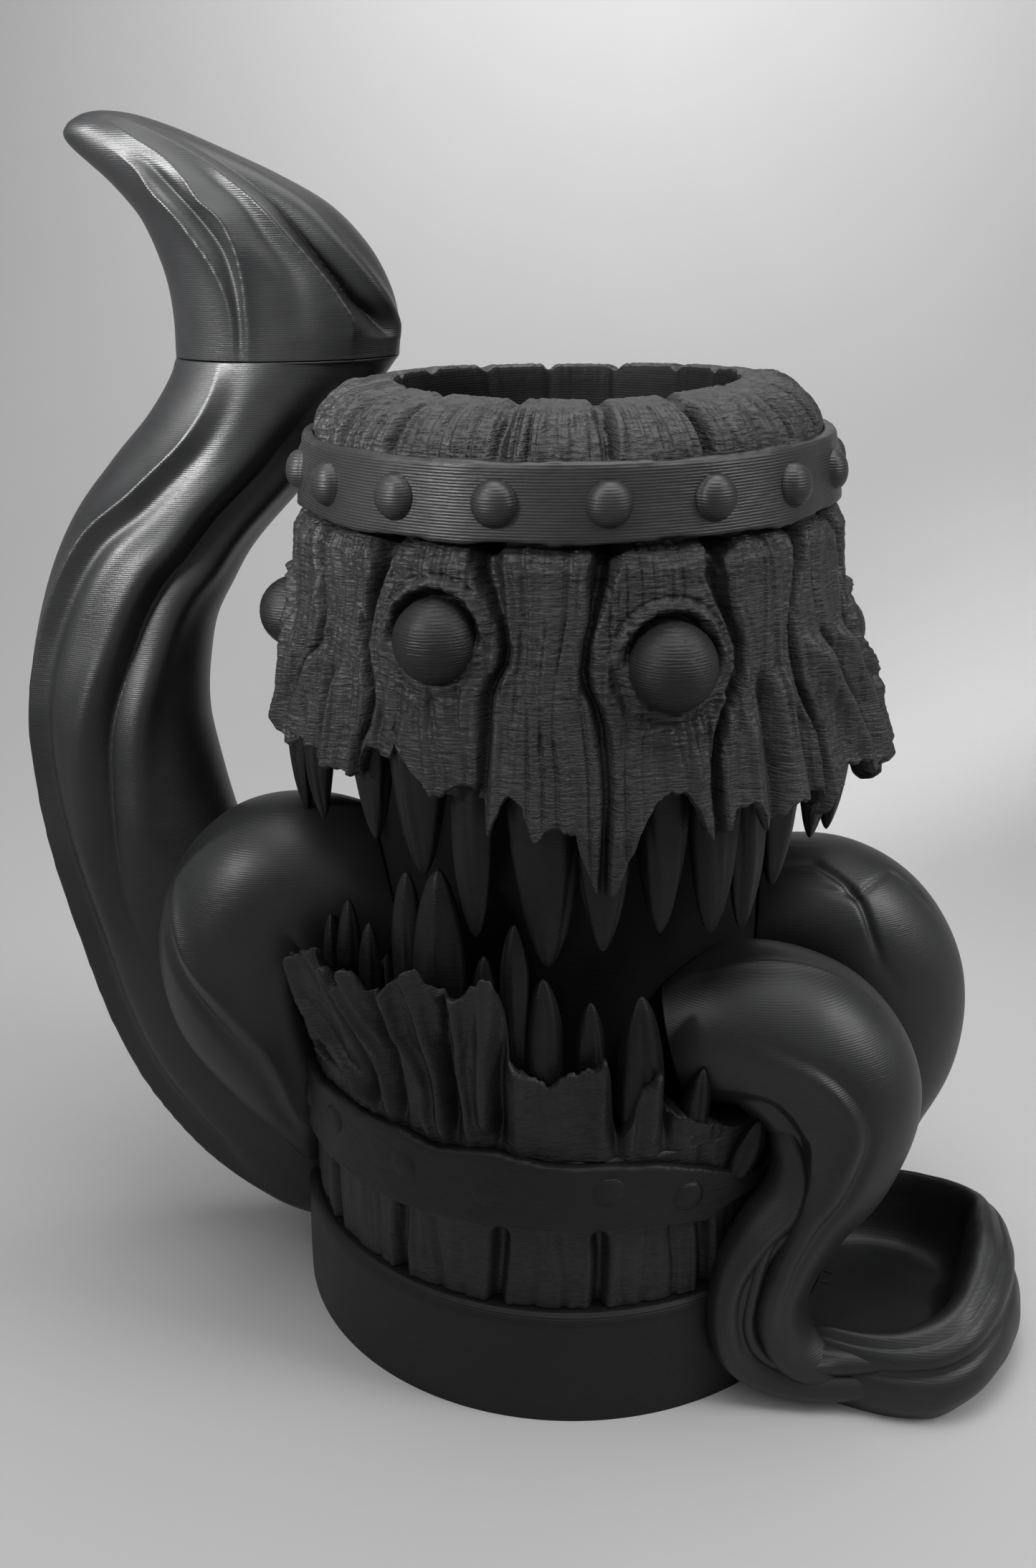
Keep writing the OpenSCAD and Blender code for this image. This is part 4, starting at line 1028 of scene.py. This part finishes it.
# painted shade: the lower teeth take the darker teeth copy of the plastic
finish_piece(teeth, "teeth", ["lower_teeth"])
FANGS = [(-79, 52, 108, 3.6), (-62, 51.5, 112, 3.4), (-43, 50, 113, 4.4), (-30, 50.4, 109, 5.6), (-18.5, 50.5, 99, 3.2),
         (-4, 49.8, 94, 6.6), (6.6, 52.2, 98.2, 5.0), (18.4, 50.4, 99.8, 4.5), (30, 50.2, 97.5, 4.4), (38, 50.4, 96.5, 3.4), (47, 50.4, 103, 5),
         (62, 51, 108, 4), (79, 51.5, 104, 5), (95, 51.5, 110, 4), (111, 51, 109, 4.4), (-97, 51.5, 112.5, 4),
         (-113, 51, 109, 4.4)]
parts = []
for i, (a, R, zt, r) in enumerate(FANGS):
    top_z = 117.0 if abs(a - 6.6) < 0.1 else 137.0 if -45 < a < -25 else 131.5
    parts.append(tooth_part(polar(R - (0.8 if abs(a - 6.6) < 0.1 else 0), a, top_z), polar(R + 0.6, a, zt), r * 1.22, (0.0, 0.8), 20 + i, blunt=6.6))
fangs = join_parts("upper_fangs_cones", parts)
# painted shade: the fangs take the darker teeth copy of the plastic
finish_piece(fangs, "teeth", ["upper_fangs"])

# ---------------------------------------------------------------- eyes
print("eyes")


def eye_part(c, r, seed):
    nu, nv = 96, 56
    ph = np.arange(nu) * 2 * PI / nu
    th = np.linspace(0.02, PI - 0.02, nv)
    P_, T_ = np.meshgrid(ph, th)
    d = np.stack([np.sin(T_) * np.cos(P_), np.sin(T_) * np.sin(P_), np.cos(T_)], -1)
    rr = r * (1 + 0.006 * noise(d[..., 0] * 3, d[..., 1] * 3, d[..., 2] * 3 + seed, 601))
    # printed layers
    rr = rr + 0.03 * np.sin(2 * PI * (d[..., 2] * r) / 1.0) * (np.sin(T_) ** 0.5)
    return tube_part(np.array(c)[None, None] + d * rr[..., None], flip=True)


for (x, y, z, r), nm, nd in zip(EYES, ("eye_ball_front_left", "eye_ball_front_right", "eye_ball_side_left", "eye_ball_side_right"),
                                ("eye_front_left", "eye_front_right", "eye_side_left", "eye_side_right")):
    e = join_parts(nm, [eye_part((x, y, z), r, int(r * 10))])
    finish_piece(e, "eyes", [nd])

# ---------------------------------------------------------------- tongues
print("tongues")
LOOP_LEFT = [(-36, -4, 84, 15, 17), (-48, -5, 91, 17, 18), (-59, -6, 91, 18, 18), (-66, -7, 81, 18, 18),
             (-66, -7, 66, 17, 17), (-60.5, -6, 50, 13.5, 14.5), (-57, -4, 37, 8.5, 11), (-56, -2, 27, 5, 7)]
LOOP_REAR = [(34, 8, 72, 14, 15), (46, 8, 78, 16, 17), (58, 8, 75, 18, 18), (67, 8, 64, 18, 18),
             (69, 8, 48, 17, 17), (66, 10, 33, 15, 16), (64, 12, 20, 13, 14)]
LOOP_FRONT = [(22, -30, 70, 14, 14), (34, -32, 73, 16, 16), (45, -34, 69, 17, 17), (52, -36, 59, 16, 17), (51.5, -39.5, 47, 11.5, 15),
              (46.5, -43, 37, 8, 11.5), (42.6, -46.3, 29, 6.2, 9), (40.6, -48.3, 21, 5.5, 8), (42.8, -49.6, 13, 5.2, 7),
              (48.5, -49.4, 8, 5.2, 6.2), (55, -48, 5.6, 4, 4.6)]
STRAND = [(40, -36, 64, 4, 5), (42.6, -41, 57, 5, 6), (44.2, -43.5, 50.5, 5.6, 6.5), (42.4, -45.5, 43.5, 5.8, 6.8), (36.6, -47.6, 36.5, 5.4, 6.6),
          (32.4, -49, 28, 4.8, 6.2), (31.6, -49.4, 19, 4.8, 6.2), (33.6, -49.6, 11.2, 4.8, 5.8), (39.5, -50.4, 6.6, 4.4, 5.2),
          (48, -52.0, 5.2, 4.0, 4.4), (57, -52.6, 5.4, 3.3, 3.6), (66, -53.5, 6.0, 2.0, 2.2)]
STRAND_IN = [(45, -40, 52, 4, 6), (43.4, -44.5, 44, 4.6, 6.5), (38.6, -46.6, 36.5, 4.6, 6.6), (36.4, -48, 28, 4.2, 6.2), (35.8, -48.6, 19, 4.2, 6.2),
             (38.6, -49.4, 12.6, 4.0, 5.4), (44.6, -50.5, 10, 3.6, 4.8), (52, -51.5, 10.2, 3.0, 4.0),
             (60, -52.6, 11.0, 2.2, 3.0), (68, -53.6, 12.0, 1.3, 1.8)]


def flesh_piece(name, nodes, rows, side, feats, nv=240, nu=220, axis_r=39.3, ripple=0.25, body="tower", **kw):
    X, nr, off, t, deg = sweep(rows, side, nv, nu, feats, **kw)
    off = off + ripple * noise(X[..., 0] / 14, X[..., 1] / 14, X[..., 2] / 20, 701)
    X = X + nr * off[..., None]
    if axis_r:
        X = clear_axis(X, axis_r)
    X[..., 2] = np.maximum(X[..., 2], 0.15)
    return X


X = flesh_piece("tongue_left_loop", [], LOOP_LEFT, (0, 1, 0), [
    ("crest", 2.6, [[2.6, 334, 0.9], [3.0, 307, 1.6], [3.4, 282, 1.6], [4.1, 262, 1.4], [5.2, 262, 1.0]]),
    ("groove", 2.0, [[2.6, 350, 0.5], [3.1, 320, 1.0], [3.6, 292, 1.1], [4.3, 274, 1.0], [5.4, 272, 0.8]]),
    ("ridge", 3.0, [[3.2, 234, 0.6], [4.4, 232, 0.9], [5.6, 244, 0.8]]),
    ("groove", 2.2, [[3.4, 218, 0.6], [4.4, 214, 0.8], [5.6, 226, 0.7]]),
])
ob = join_parts("tongue_left_loop", [tube_part(X)])
finish_piece(ob, "tongue", ["tongue_left"])
X = flesh_piece("tongue_right_rear_loop", [], LOOP_REAR, (0, 1, 0), [
    ("groove", 1.2, [[1.3, 210, 0.7], [1.71, 229, 0.9], [2.0, 247, 0.8], [2.4, 260, 0.3]]),
    ("groove", 1.0, [[1.72, 229, 0.5], [2.0, 198, 0.5]]),
])
ob = join_parts("tongue_right_rear_loop", [tube_part(X)])
finish_piece(ob, "tongue", ["tongue_right_rear"])
X = flesh_piece("tongue_right_front_loop", [], LOOP_FRONT, (0.35, 0.94, 0), [
    ("crest", 1.8, [[0.8, 295, 0.3], [1.7, 279, 1.0], [2.43, 275, 1.6], [3.1, 276, 1.7], [3.7, 280, 1.0], [4.2, 288, 0.3]]),
    ("groove", 1.8, [[0.9, 309, 0.3], [1.7, 293, 1.2], [2.43, 289, 1.7], [3.2, 291, 1.8], [3.9, 296, 1.2], [4.6, 304, 0.4]]),
    ("ridge", 1.8, [[1.25, 262, 0.2], [2.2, 250, 0.7], [3.2, 246, 0.8], [4.4, 262, 0.9], [5.6, 266, 0.9], [7.0, 262, 0.6]]),
    ("groove", 1.3, [[1.6, 250, 0.2], [2.4, 240, 0.7], [3.4, 236, 0.8], [4.6, 250, 0.8], [5.8, 252, 0.7], [7.0, 248, 0.4]]),
    ("crest", 1.1, [[0.5, 207, 0.2], [0.78, 204, 0.6], [1.03, 198, 0.8], [1.5, 187, 0.6], [2.0, 176, 0.1]]),
])
front_parts = [tube_part(X)]
for rows_, seed_ in ((STRAND, 3), (STRAND_IN, 5)):
    X = flesh_piece("strand", [], rows_, (0.35, 0.94, 0), [
        ("ridge", 1.0, [[0.5, 262, 0.2], [2.5, 256, 0.6], [4.5, 262, 0.6], [6.5, 256, 0.4]]),
        ("groove", 0.9, [[0.5, 236, 0.2], [2.5, 228, 0.6], [4.5, 234, 0.6], [6.5, 228, 0.4]])], nv=180, nu=120, axis_r=50.0)
    front_parts.append(tube_part(X))
ob = join_parts("tongue_right_front_loop", front_parts)
finish_piece(ob, "tongue", ["tongue_right_front"])

# ---------------------------------------------------------------- handle and horn
print("handle")
GRIP = [(-48, 3, 12, 9, 11), (-56, 4, 19, 15, 13), (-65, 5, 31, 20, 15), (-73, 7, 45, 22.5, 16), (-80, 9, 59, 22.5, 16),
        (-86, 11, 76, 22, 16), (-91, 13.5, 92, 21, 16), (-94, 16, 107, 20, 16), (-95.2, 17.5, 121, 19, 16),
        (-93.5, 19.5, 135, 18.2, 15.5), (-89, 21, 149, 17.4, 15.5), (-80, 23, 163, 17.4, 15.5), (-69, 24.5, 176, 19, 16),
        (-60, 26, 185.5, 21, 16.5), (-56, 27, 192.6, 22.4, 16.5)]
GRIP_FEATS = [
    ("crest", 2.0, [[13.6, 244, 0.1], [12.4, 250, 0.7], [11.3, 246, 1.6], [10, 231, 1.8], [8.74, 221, 1.6], [7.26, 217, 1.6],
                    [5.4, 222, 1.6], [3.54, 217, 1.5], [2.2, 226, 1.3], [1.2, 236, 0.8]]),
    ("groove", 2.6, [[13.4, 256, 0.1], [12.4, 262, 0.6], [11.3, 258, 1.3], [10, 244, 1.4], [8.74, 234, 1.3], [7.26, 230, 1.2],
                     [5.4, 235, 1.2], [3.54, 231, 1.1], [2.2, 240, 0.9]]),
    ("cut", 2.6, [[13.4, 312, 0.1], [12.2, 306, 1.3], [11.5, 304, 2.2], [9.8, 297, 2.6], [8.7, 289, 2.6], [7.7, 279, 2.4],
                  [6.4, 270, 2.0], [5.4, 264, 0.8]]),
    ("ridge", 3.4, [[13.3, 297, 0.1], [12.2, 292, 0.9], [11.5, 288, 1.5], [9.8, 282, 1.6], [8.7, 273, 1.5], [7.7, 262, 1.3],
                    [6.4, 254, 1.0], [5.4, 250, 0.5]]),
    ("ridge", 3.2, [[13.5, 330, 0.1], [11.5, 322, 1.2], [9.8, 314, 1.4], [8.7, 306, 1.4], [7.7, 297, 1.2], [6.4, 288, 0.8]]),
]
X, nr, off, t, deg = sweep(GRIP, (0.1, 0.995, 0), 420, 240, GRIP_FEATS, top=(0, 0, 1),
                           chords=[[10.2, -74.6, 139.6, -102.2, 161.0], [11, -66.5, 153.5, -93.5, 172.2], [12, -53.5, 168, -85.2, 181.4],
                                   [13, -42, 182.6, -80.4, 188.4], [14, -33.9, 192.6, -78.9, 192.6]])
X = X + nr * off[..., None]
X[..., 2] = np.clip(X[..., 2], 0.15, 192.6)
X[-1, :, 2] = 192.6
X = clear_axis(X, 40.0)
# flat top, then the socket that takes the horn's peg
hub = np.array([-56.0, 27.0])
out_xy = X[-1, :, :2]
way = np.arctan2(out_xy[:, 1] - hub[1], out_xy[:, 0] - hub[0])
round_xy = hub + 9.08 * np.stack([np.cos(way), np.sin(way)], -1)
more = []
for f_, z_ in ((0.04, 192.6), (0.35, 192.6), (0.7, 192.6), (0.96, 192.6), (1.0, 192.55), (1.0, 191.8), (1.0, 188.0), (1.0, 184.0), (1.0, 179.7)):
    more.append(np.concatenate([out_xy * (1 - f_) + round_xy * f_, np.full((len(way), 1), z_)], 1))
more.append(np.concatenate([hub + 0.45 * (round_xy - hub), np.full((len(way), 1), 179.6)], 1))
X = np.concatenate([X, np.array(more)])
ob = join_parts("curved_handle", [tube_part(X)])
finish_piece(ob, "tongue", ["handle"])
print("horn")
HORN_ENDS = [[0, -33.9, 192.8, -78.9, 192.8], [1, -33.6, 199, -78.7, 200.2], [2, -35.2, 206.2, -79.3, 206.8], [3, -39.3, 213.8, -80.9, 212.8],
             [4, -46.2, 221.0, -83.3, 218.6], [5, -55.4, 226.4, -86.2, 222.6], [6, -66, 231.3, -89.4, 226.1], [7, -75.5, 235.3, -92.4, 228.8],
             [8, -83, 237.7, -94.9, 231], [9, -88.5, 238.5, -96.6, 232.8], [10, -92.3, 238.2, -97.2, 234.3], [11, -94.9, 237.2, -96.6, 235.9]]
HORN_DEPTH = [16.5, 16.5, 16.3, 15.8, 14.8, 13.2, 11.3, 9.3, 7.2, 5.6, 3.8, 1.2]
HORN = [((q[1] + q[3]) / 2, 27, (q[2] + q[4]) / 2, math.hypot(q[1] - q[3], q[2] - q[4]) / 2, d) for q, d in zip(HORN_ENDS, HORN_DEPTH)]
HORN_FEATS = [
    ("crest", 1.3, [[0, 250, 0.15], [0.63, 250, 0.5], [1.45, 250, 1.0], [2.51, 247, 1.2], [3.86, 242, 1.3], [5.11, 243, 1.0], [5.96, 252, 0.5], [6.8, 256, 0.1]]),
    ("groove", 1.3, [[0, 253.5, 0.2], [0.63, 253.5, 0.6], [1.4, 254, 0.9], [2.16, 255, 1.0], [3.01, 256, 1.2], [4.06, 254, 1.2], [5.11, 258, 0.9], [6.0, 266, 0.3]]),
    ("crest", 2.0, [[0, 257, 0.3], [0.43, 257, 0.7], [1.38, 258, 1.3], [2.43, 262, 1.7], [3.11, 265, 1.9], [3.86, 267, 1.9], [4.44, 266, 1.8],
                    [5.16, 273, 1.6], [6.02, 283, 1.2], [7.22, 289, 0.8], [8.3, 300, 0.2]]),
    ("groove", 3.0, [[0.6, 284, 0.1], [1.48, 284, 0.6], [2.46, 284, 1.1], [3.23, 282, 1.4], [4.39, 286, 1.3], [5.51, 290, 0.8], [6.6, 298, 0.2]]),
    ("crest", 2.4, [[0.1, 310, 0.2], [0.6, 310, 0.7], [0.93, 311, 1.2], [1.55, 307, 1.9], [2.08, 303, 2.3], [2.56, 299, 2.3], [3.61, 294, 2.1],
                    [4.84, 298, 1.7], [5.86, 306, 1.2], [7.49, 311, 0.7], [8.4, 316, 0.1]]),
    ("cut", 2.4, [[0.6, 338, 0.1], [0.9, 333, 1.8], [1.2, 329, 3.2], [1.68, 317, 4.2], [2.23, 311, 4.4], [2.98, 306, 3.8], [4.2, 308, 2.2], [5.6, 316, 0.8], [6.6, 322, 0.1]]),
    ("ridge", 2.8, [[0.4, 348, 0.5], [0.95, 348, 1.2], [1.6, 338, 1.6], [2.28, 329, 1.7], [3.08, 322, 1.5], [4.61, 324, 1.0], [6.0, 330, 0.2]]),
]
X, nr, off, t, deg = sweep(HORN, (0, 1, 0), 340, 240, HORN_FEATS, bottom=(0, 0, 1), chords=HORN_ENDS)
X = X + nr * off[..., None]
X[..., 2] = np.maximum(X[..., 2], 192.8)
X[0, :, 2] = 192.8
ob = join_parts("lift_off_horn", [tube_part(X)])
finish_piece(ob, "tongue", ["horn_tip"], body="horn")

# ---------------------------------------------------------------- tray
print("tray")
TRAY_C = (70.0, -26.0)
# [angle, radius, lip height, lip width, foot inset]
TRAY = [[0, 23.6, 24.6, 12, 3], [14, 24.3, 24.4, 11, 2.5], [28, 24.8, 23.4, 8.5, 2], [40, 24.2, 22.6, 6.5, 1.5], [65, 23.9, 21.5, 5.5, 1], [90, 25, 20.8, 5, 0.8],
        [120, 27.5, 19.5, 4.5, 0.5], [142, 32, 7, 3, 0.3], [160, 34, 7, 3, 0.3], [200, 36, 7, 3, 0.3], [212, 38, 12, 4, 0.5], [228, 34, 16, 5, 0.8],
        [242, 32.8, 16, 6, 0.8], [256, 32.8, 16.6, 9, 0.8], [272, 32.8, 17.8, 13, 1.2], [286, 30.8, 19.7, 13.5, 3], [300, 27.8, 21.3, 13.8, 4.2],
        [318, 25.2, 22.9, 13.2, 3.6], [340, 23.8, 24.3, 12.5, 3]]
# (inset in lip widths, height in lip heights)
SEC = [(0.10, 0.0), (0.02, 0.08), (-0.02, 0.2), (0, 0.33), (0.03, 0.43), (0.10, 0.52), (0.19, 0.58), (0.2, 0.64), (0.17, 0.72), (0.2, 0.80),
       (0.30, 0.87), (0.38, 0.89), (0.44, 0.925), (0.56, 0.985), (0.70, 1.0), (0.83, 0.97), (0.93, 0.88), (1.0, 0.74)]
NT = 480
ta = np.arange(NT) * 360.0 / NT


def loop_table(col):
    v = np.interp(ta, [q[0] for q in TRAY] + [360], [q[col] for q in TRAY] + [TRAY[0][col]])
    k = np.hanning(23)
    k /= k.sum()
    return np.convolve(np.concatenate([v[-11:], v, v[:11]]), k, "valid")


RO, LZ, WD, FI = (loop_table(c_) for c_ in (1, 2, 3, 4))
sec = np.array(SEC, float)
sv = np.linspace(0, len(sec) - 1, 120)
i = np.minimum(sv.astype(int), len(sec) - 2)
f = (sv - i)[:, None]
g = lambda k: sec[np.clip(k, 0, len(sec) - 1)]
S = spline(g(i - 1), g(i), g(i + 1), g(i + 2), f)
XS = []


def tray_ring(r, z):
    return np.stack([TRAY_C[0] + r * np.cos(np.radians(ta)), TRAY_C[1] + r * np.sin(np.radians(ta)), z], -1)


for k in range(len(sv)):
    h_ = max(0.0, S[k, 1])
    foot = FI * smooth(np.array((0.34 - h_) / 0.34)) * (sv[k] < 4)
    XS.append(tray_ring(RO - S[k, 0] * WD - foot, np.maximum(0.15, h_ * LZ)))
lip_z = S[-1, 1] * LZ
for e, q in ((0.3, 0.84), (0.6, 0.7), (0.9, 0.56), (1.3, 0.42), (1.8, 0.28), (2.5, 0.15), (3.6, 0.06), (5.2, 0.0)):
    XS.append(tray_ring(np.maximum(RO - WD - e, 2.4), 5.0 + (np.maximum(lip_z, 5.05) - 5.0) * q))
r_in = np.maximum(RO - WD - 5.2, 2.0)
for q in (0.85, 0.7, 0.55, 0.4, 0.25, 0.1):
    XS.append(tray_ring(r_in * q, np.full(NT, 5.0)))
X = np.array(XS)
X[..., 2] += 0.15 * noise(X[..., 0] / 8, X[..., 1] / 8, X[..., 2] / 8, 801) * (X[..., 2] > 5.2) * (X[..., 2] < 60)
X = clear_axis(X, 58.15)
ob = join_parts("dice_tray_lip", [tube_part(X)])
finish_piece(ob, "tongue", ["dice_tray"])

# ---------------------------------------------------------------- base ring
print("base")
prof_o = [(58.0, 0.05), (58.0, 0.6), (57.95, 6), (57.75, 12), (57.6, 18), (57.5, 21.6), (57.2, 22.6), (56.6, 23.4), (55.9, 23.9), (54.5, 24.0), (52.1, 24.0)]
zz = np.array(prof_o)
u_ = np.linspace(0, len(zz) - 1, 60)
ru = np.interp(u_, np.arange(len(zz)), zz[:, 0])
zu = np.interp(u_, np.arange(len(zz)), zz[:, 1])
h_out = math.degrees(math.asin(DOOR_HALF / 58.0))
h_in = math.degrees(math.asin(DOOR_HALF / 52.0))
NR = 720
a_o, a_i = door_columns(NR, h_out, 66), door_columns(NR, h_in, 66)
# line up a row with the doorway's sill
k_sill = int(np.argmin(np.abs(zu - 5.0)))
zu[k_sill] = 5.0
O_ = np.array([polar(np.full(NR, r), a_o, np.full(NR, z)) for r, z in zip(ru, zu)])
I_ = np.array([polar(np.full(NR, 52.0), a_i, np.full(NR, min(z, 23.9))) for r, z in zip(ru, zu)])
keep = np.ones((len(zu) - 1, NR), bool)
keep[:, :66] = (0.5 * (zu[1:] + zu[:-1]) < 5.0)[:, None]
ob = join_parts("base_ring_band", [sheet_part(O_, I_, keep)])
# painted shade: the base ring takes the darker base copy of the plastic
finish_piece(ob, "base", ["base_ring"])

# ---------------------------------------------------------------- CAD pieces that stay
# painted shade: the floor disc takes the darker base copy of the plastic
# painted shade: the throat tube, baffles and exit ramp take the near-black inner material
for nm, mt in (("throat_tube", "inner"), ("upper_baffle", "inner"), ("middle_baffle", "inner"), ("lower_baffle", "inner"),
               ("exit_ramp", "inner"), ("floor_disc", "base"), ("horn_peg", "tongue")):
    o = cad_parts[nm]
    if not o.data.materials:
        o.data.materials.append(MAT[mt])
    for k in range(len(o.material_slots)):
        o.material_slots[k].material = MAT[mt]

# ---------------------------------------------------------------- floor, light, camera
print("stage")


def stage_sheet():
    """A sweep of paper: flat, then curving up far behind."""
    pts = []
    for k in range(80):
        t = k / 79
        if t < 0.4:
            pts.append((-1.8 + t / 0.4 * 2.1, 0.0))
        else:
            w = (t - 0.4) / 0.6 * PI / 2
            pts.append((0.3 + 0.62 * math.sin(w), 0.62 * (1 - math.cos(w))))
    pts.append((0.92, 2.2))
    n = len(pts)
    xs = np.linspace(-3, 3, 40)
    co = np.array([[x, y, z] for y, z in pts for x in xs]) * 1000
    co[:, 2] -= 0.02
    q = grid_quads(n, 40, wrap_u=False)
    return make_object("paper_floor", co, q, limit=False)


floor = stage_sheet()
fm, nt, bs = new_material("paper")
tcn = node(nt, "ShaderNodeTexCoord")
pn = node(nt, "ShaderNodeTexNoise", inputs={"Scale": 6.0, "Detail": 3.0})
nt.links.new(tcn.outputs["Object"], pn.inputs["Vector"])
pr = node(nt, "ShaderNodeValToRGB")
pr.color_ramp.elements[0].color = (0.48, 0.475, 0.475, 1)
pr.color_ramp.elements[1].color = (0.525, 0.52, 0.52, 1)
nt.links.new(pn.outputs["Fac"], pr.inputs["Fac"])
nt.links.new(pr.outputs["Color"], bs.inputs["Base Color"])
bs.inputs["Roughness"].default_value = 0.85
floor.data.materials.append(fm)

world = bpy.data.worlds.new("tent")
scene.world = world
world.use_nodes = True
wt = world.node_tree
bg = wt.nodes["Background"]
tc_ = wt.nodes.new("ShaderNodeTexCoord")
sp_ = wt.nodes.new("ShaderNodeSeparateXYZ")
wt.links.new(tc_.outputs["Generated"], sp_.inputs["Vector"])


def wnode(op, a, b):
    m_ = wt.nodes.new("ShaderNodeMath")
    m_.operation = op
    for k_, v_ in enumerate((a, b)):
        if isinstance(v_, (int, float)):
            m_.inputs[k_].default_value = v_
        else:
            wt.links.new(v_, m_.inputs[k_])
    return m_.outputs[0]


# bright overhead, paler to the sides, dim toward the opening of the tent
back = wt.nodes.new("ShaderNodeMapRange")
back.interpolation_type = "SMOOTHSTEP"
for k_, v_ in (("From Min", -0.9), ("From Max", 0.5), ("To Min", 0.17), ("To Max", 0.55)):
    back.inputs[k_].default_value = v_
wt.links.new(sp_.outputs["Y"], back.inputs["Value"])
over = wt.nodes.new("ShaderNodeMapRange")
over.interpolation_type = "SMOOTHSTEP"
for k_, v_ in (("From Min", 0.05), ("From Max", 0.9), ("To Min", 0.0), ("To Max", 0.45)):
    over.inputs[k_].default_value = v_
wt.links.new(sp_.outputs["Z"], over.inputs["Value"])
lit = wnode("ADD", back.outputs["Result"], over.outputs["Result"])
lp = wt.nodes.new("ShaderNodeLightPath")
mx_ = wt.nodes.new("ShaderNodeMix")
mx_.data_type = "FLOAT"
wt.links.new(lp.outputs["Is Camera Ray"], mx_.inputs[0])
wt.links.new(lit, mx_.inputs[2])
mx_.inputs[3].default_value = 0.62
bg.inputs["Color"].default_value = (0.97, 0.985, 1.0, 1)
wt.links.new(mx_.outputs[0], bg.inputs["Strength"])


def area(name, loc, look, size, power, color=(1, 1, 1)):
    li = bpy.data.lights.new(name, "AREA")
    li.shape = "RECTANGLE"
    li.size, li.size_y = size
    li.energy = power
    li.color = color
    o = bpy.data.objects.new(name, li)
    scene.collection.objects.link(o)
    o.location = loc
    d = Vector(look) - Vector(loc)
    o.rotation_euler = d.to_track_quat("-Z", "Y").to_euler()
    o.visible_camera = False
    return o


area("top_light", (0.02, 0.02, 0.50), (0.01, 0.02, 0.0), (0.42, 0.36), 1.42)
area("back_light", (0.05, 0.60, 0.62), (0.05, 0.95, 0.38), (0.5, 0.15), 2.1)
area("left_light", (-0.42, -0.30, 0.44), (-0.078, 0.02, 0.23), (0.13, 0.13), 0.26).data.spread = math.radians(26)
area("right_light", (0.44, -0.14, 0.40), (0.06, 0.0, 0.11), (0.2, 0.2), 0.12).data.spread = math.radians(50)

cam_d = bpy.data.cameras.new("photo_view")
cam = bpy.data.objects.new("photo_view", cam_d)
scene.collection.objects.link(cam)
yaw, pitch, roll = math.radians(-1.655), math.radians(20.405), math.radians(-0.675)
fwd = Vector((math.sin(yaw) * math.cos(pitch), math.cos(yaw) * math.cos(pitch), -math.sin(pitch)))
right = Vector((math.cos(yaw), -math.sin(yaw), 0))
up = right.cross(fwd)
Rv = right * math.cos(roll) + up * math.sin(roll)
Uv = up * math.cos(roll) - right * math.sin(roll)
cam.matrix_world = Matrix(((Rv.x, Uv.x, -fwd.x, 0.0), (Rv.y, Uv.y, -fwd.y, -0.29066),
                           (Rv.z, Uv.z, -fwd.z, 0.21810), (0, 0, 0, 1)))
cam_d.sensor_width = 36
cam_d.lens = 34.90
cam_d.shift_x = -0.0054
cam_d.clip_start = 0.01
cam_d.clip_end = 20
scene.camera = cam
scene.view_settings.view_transform = "Standard"
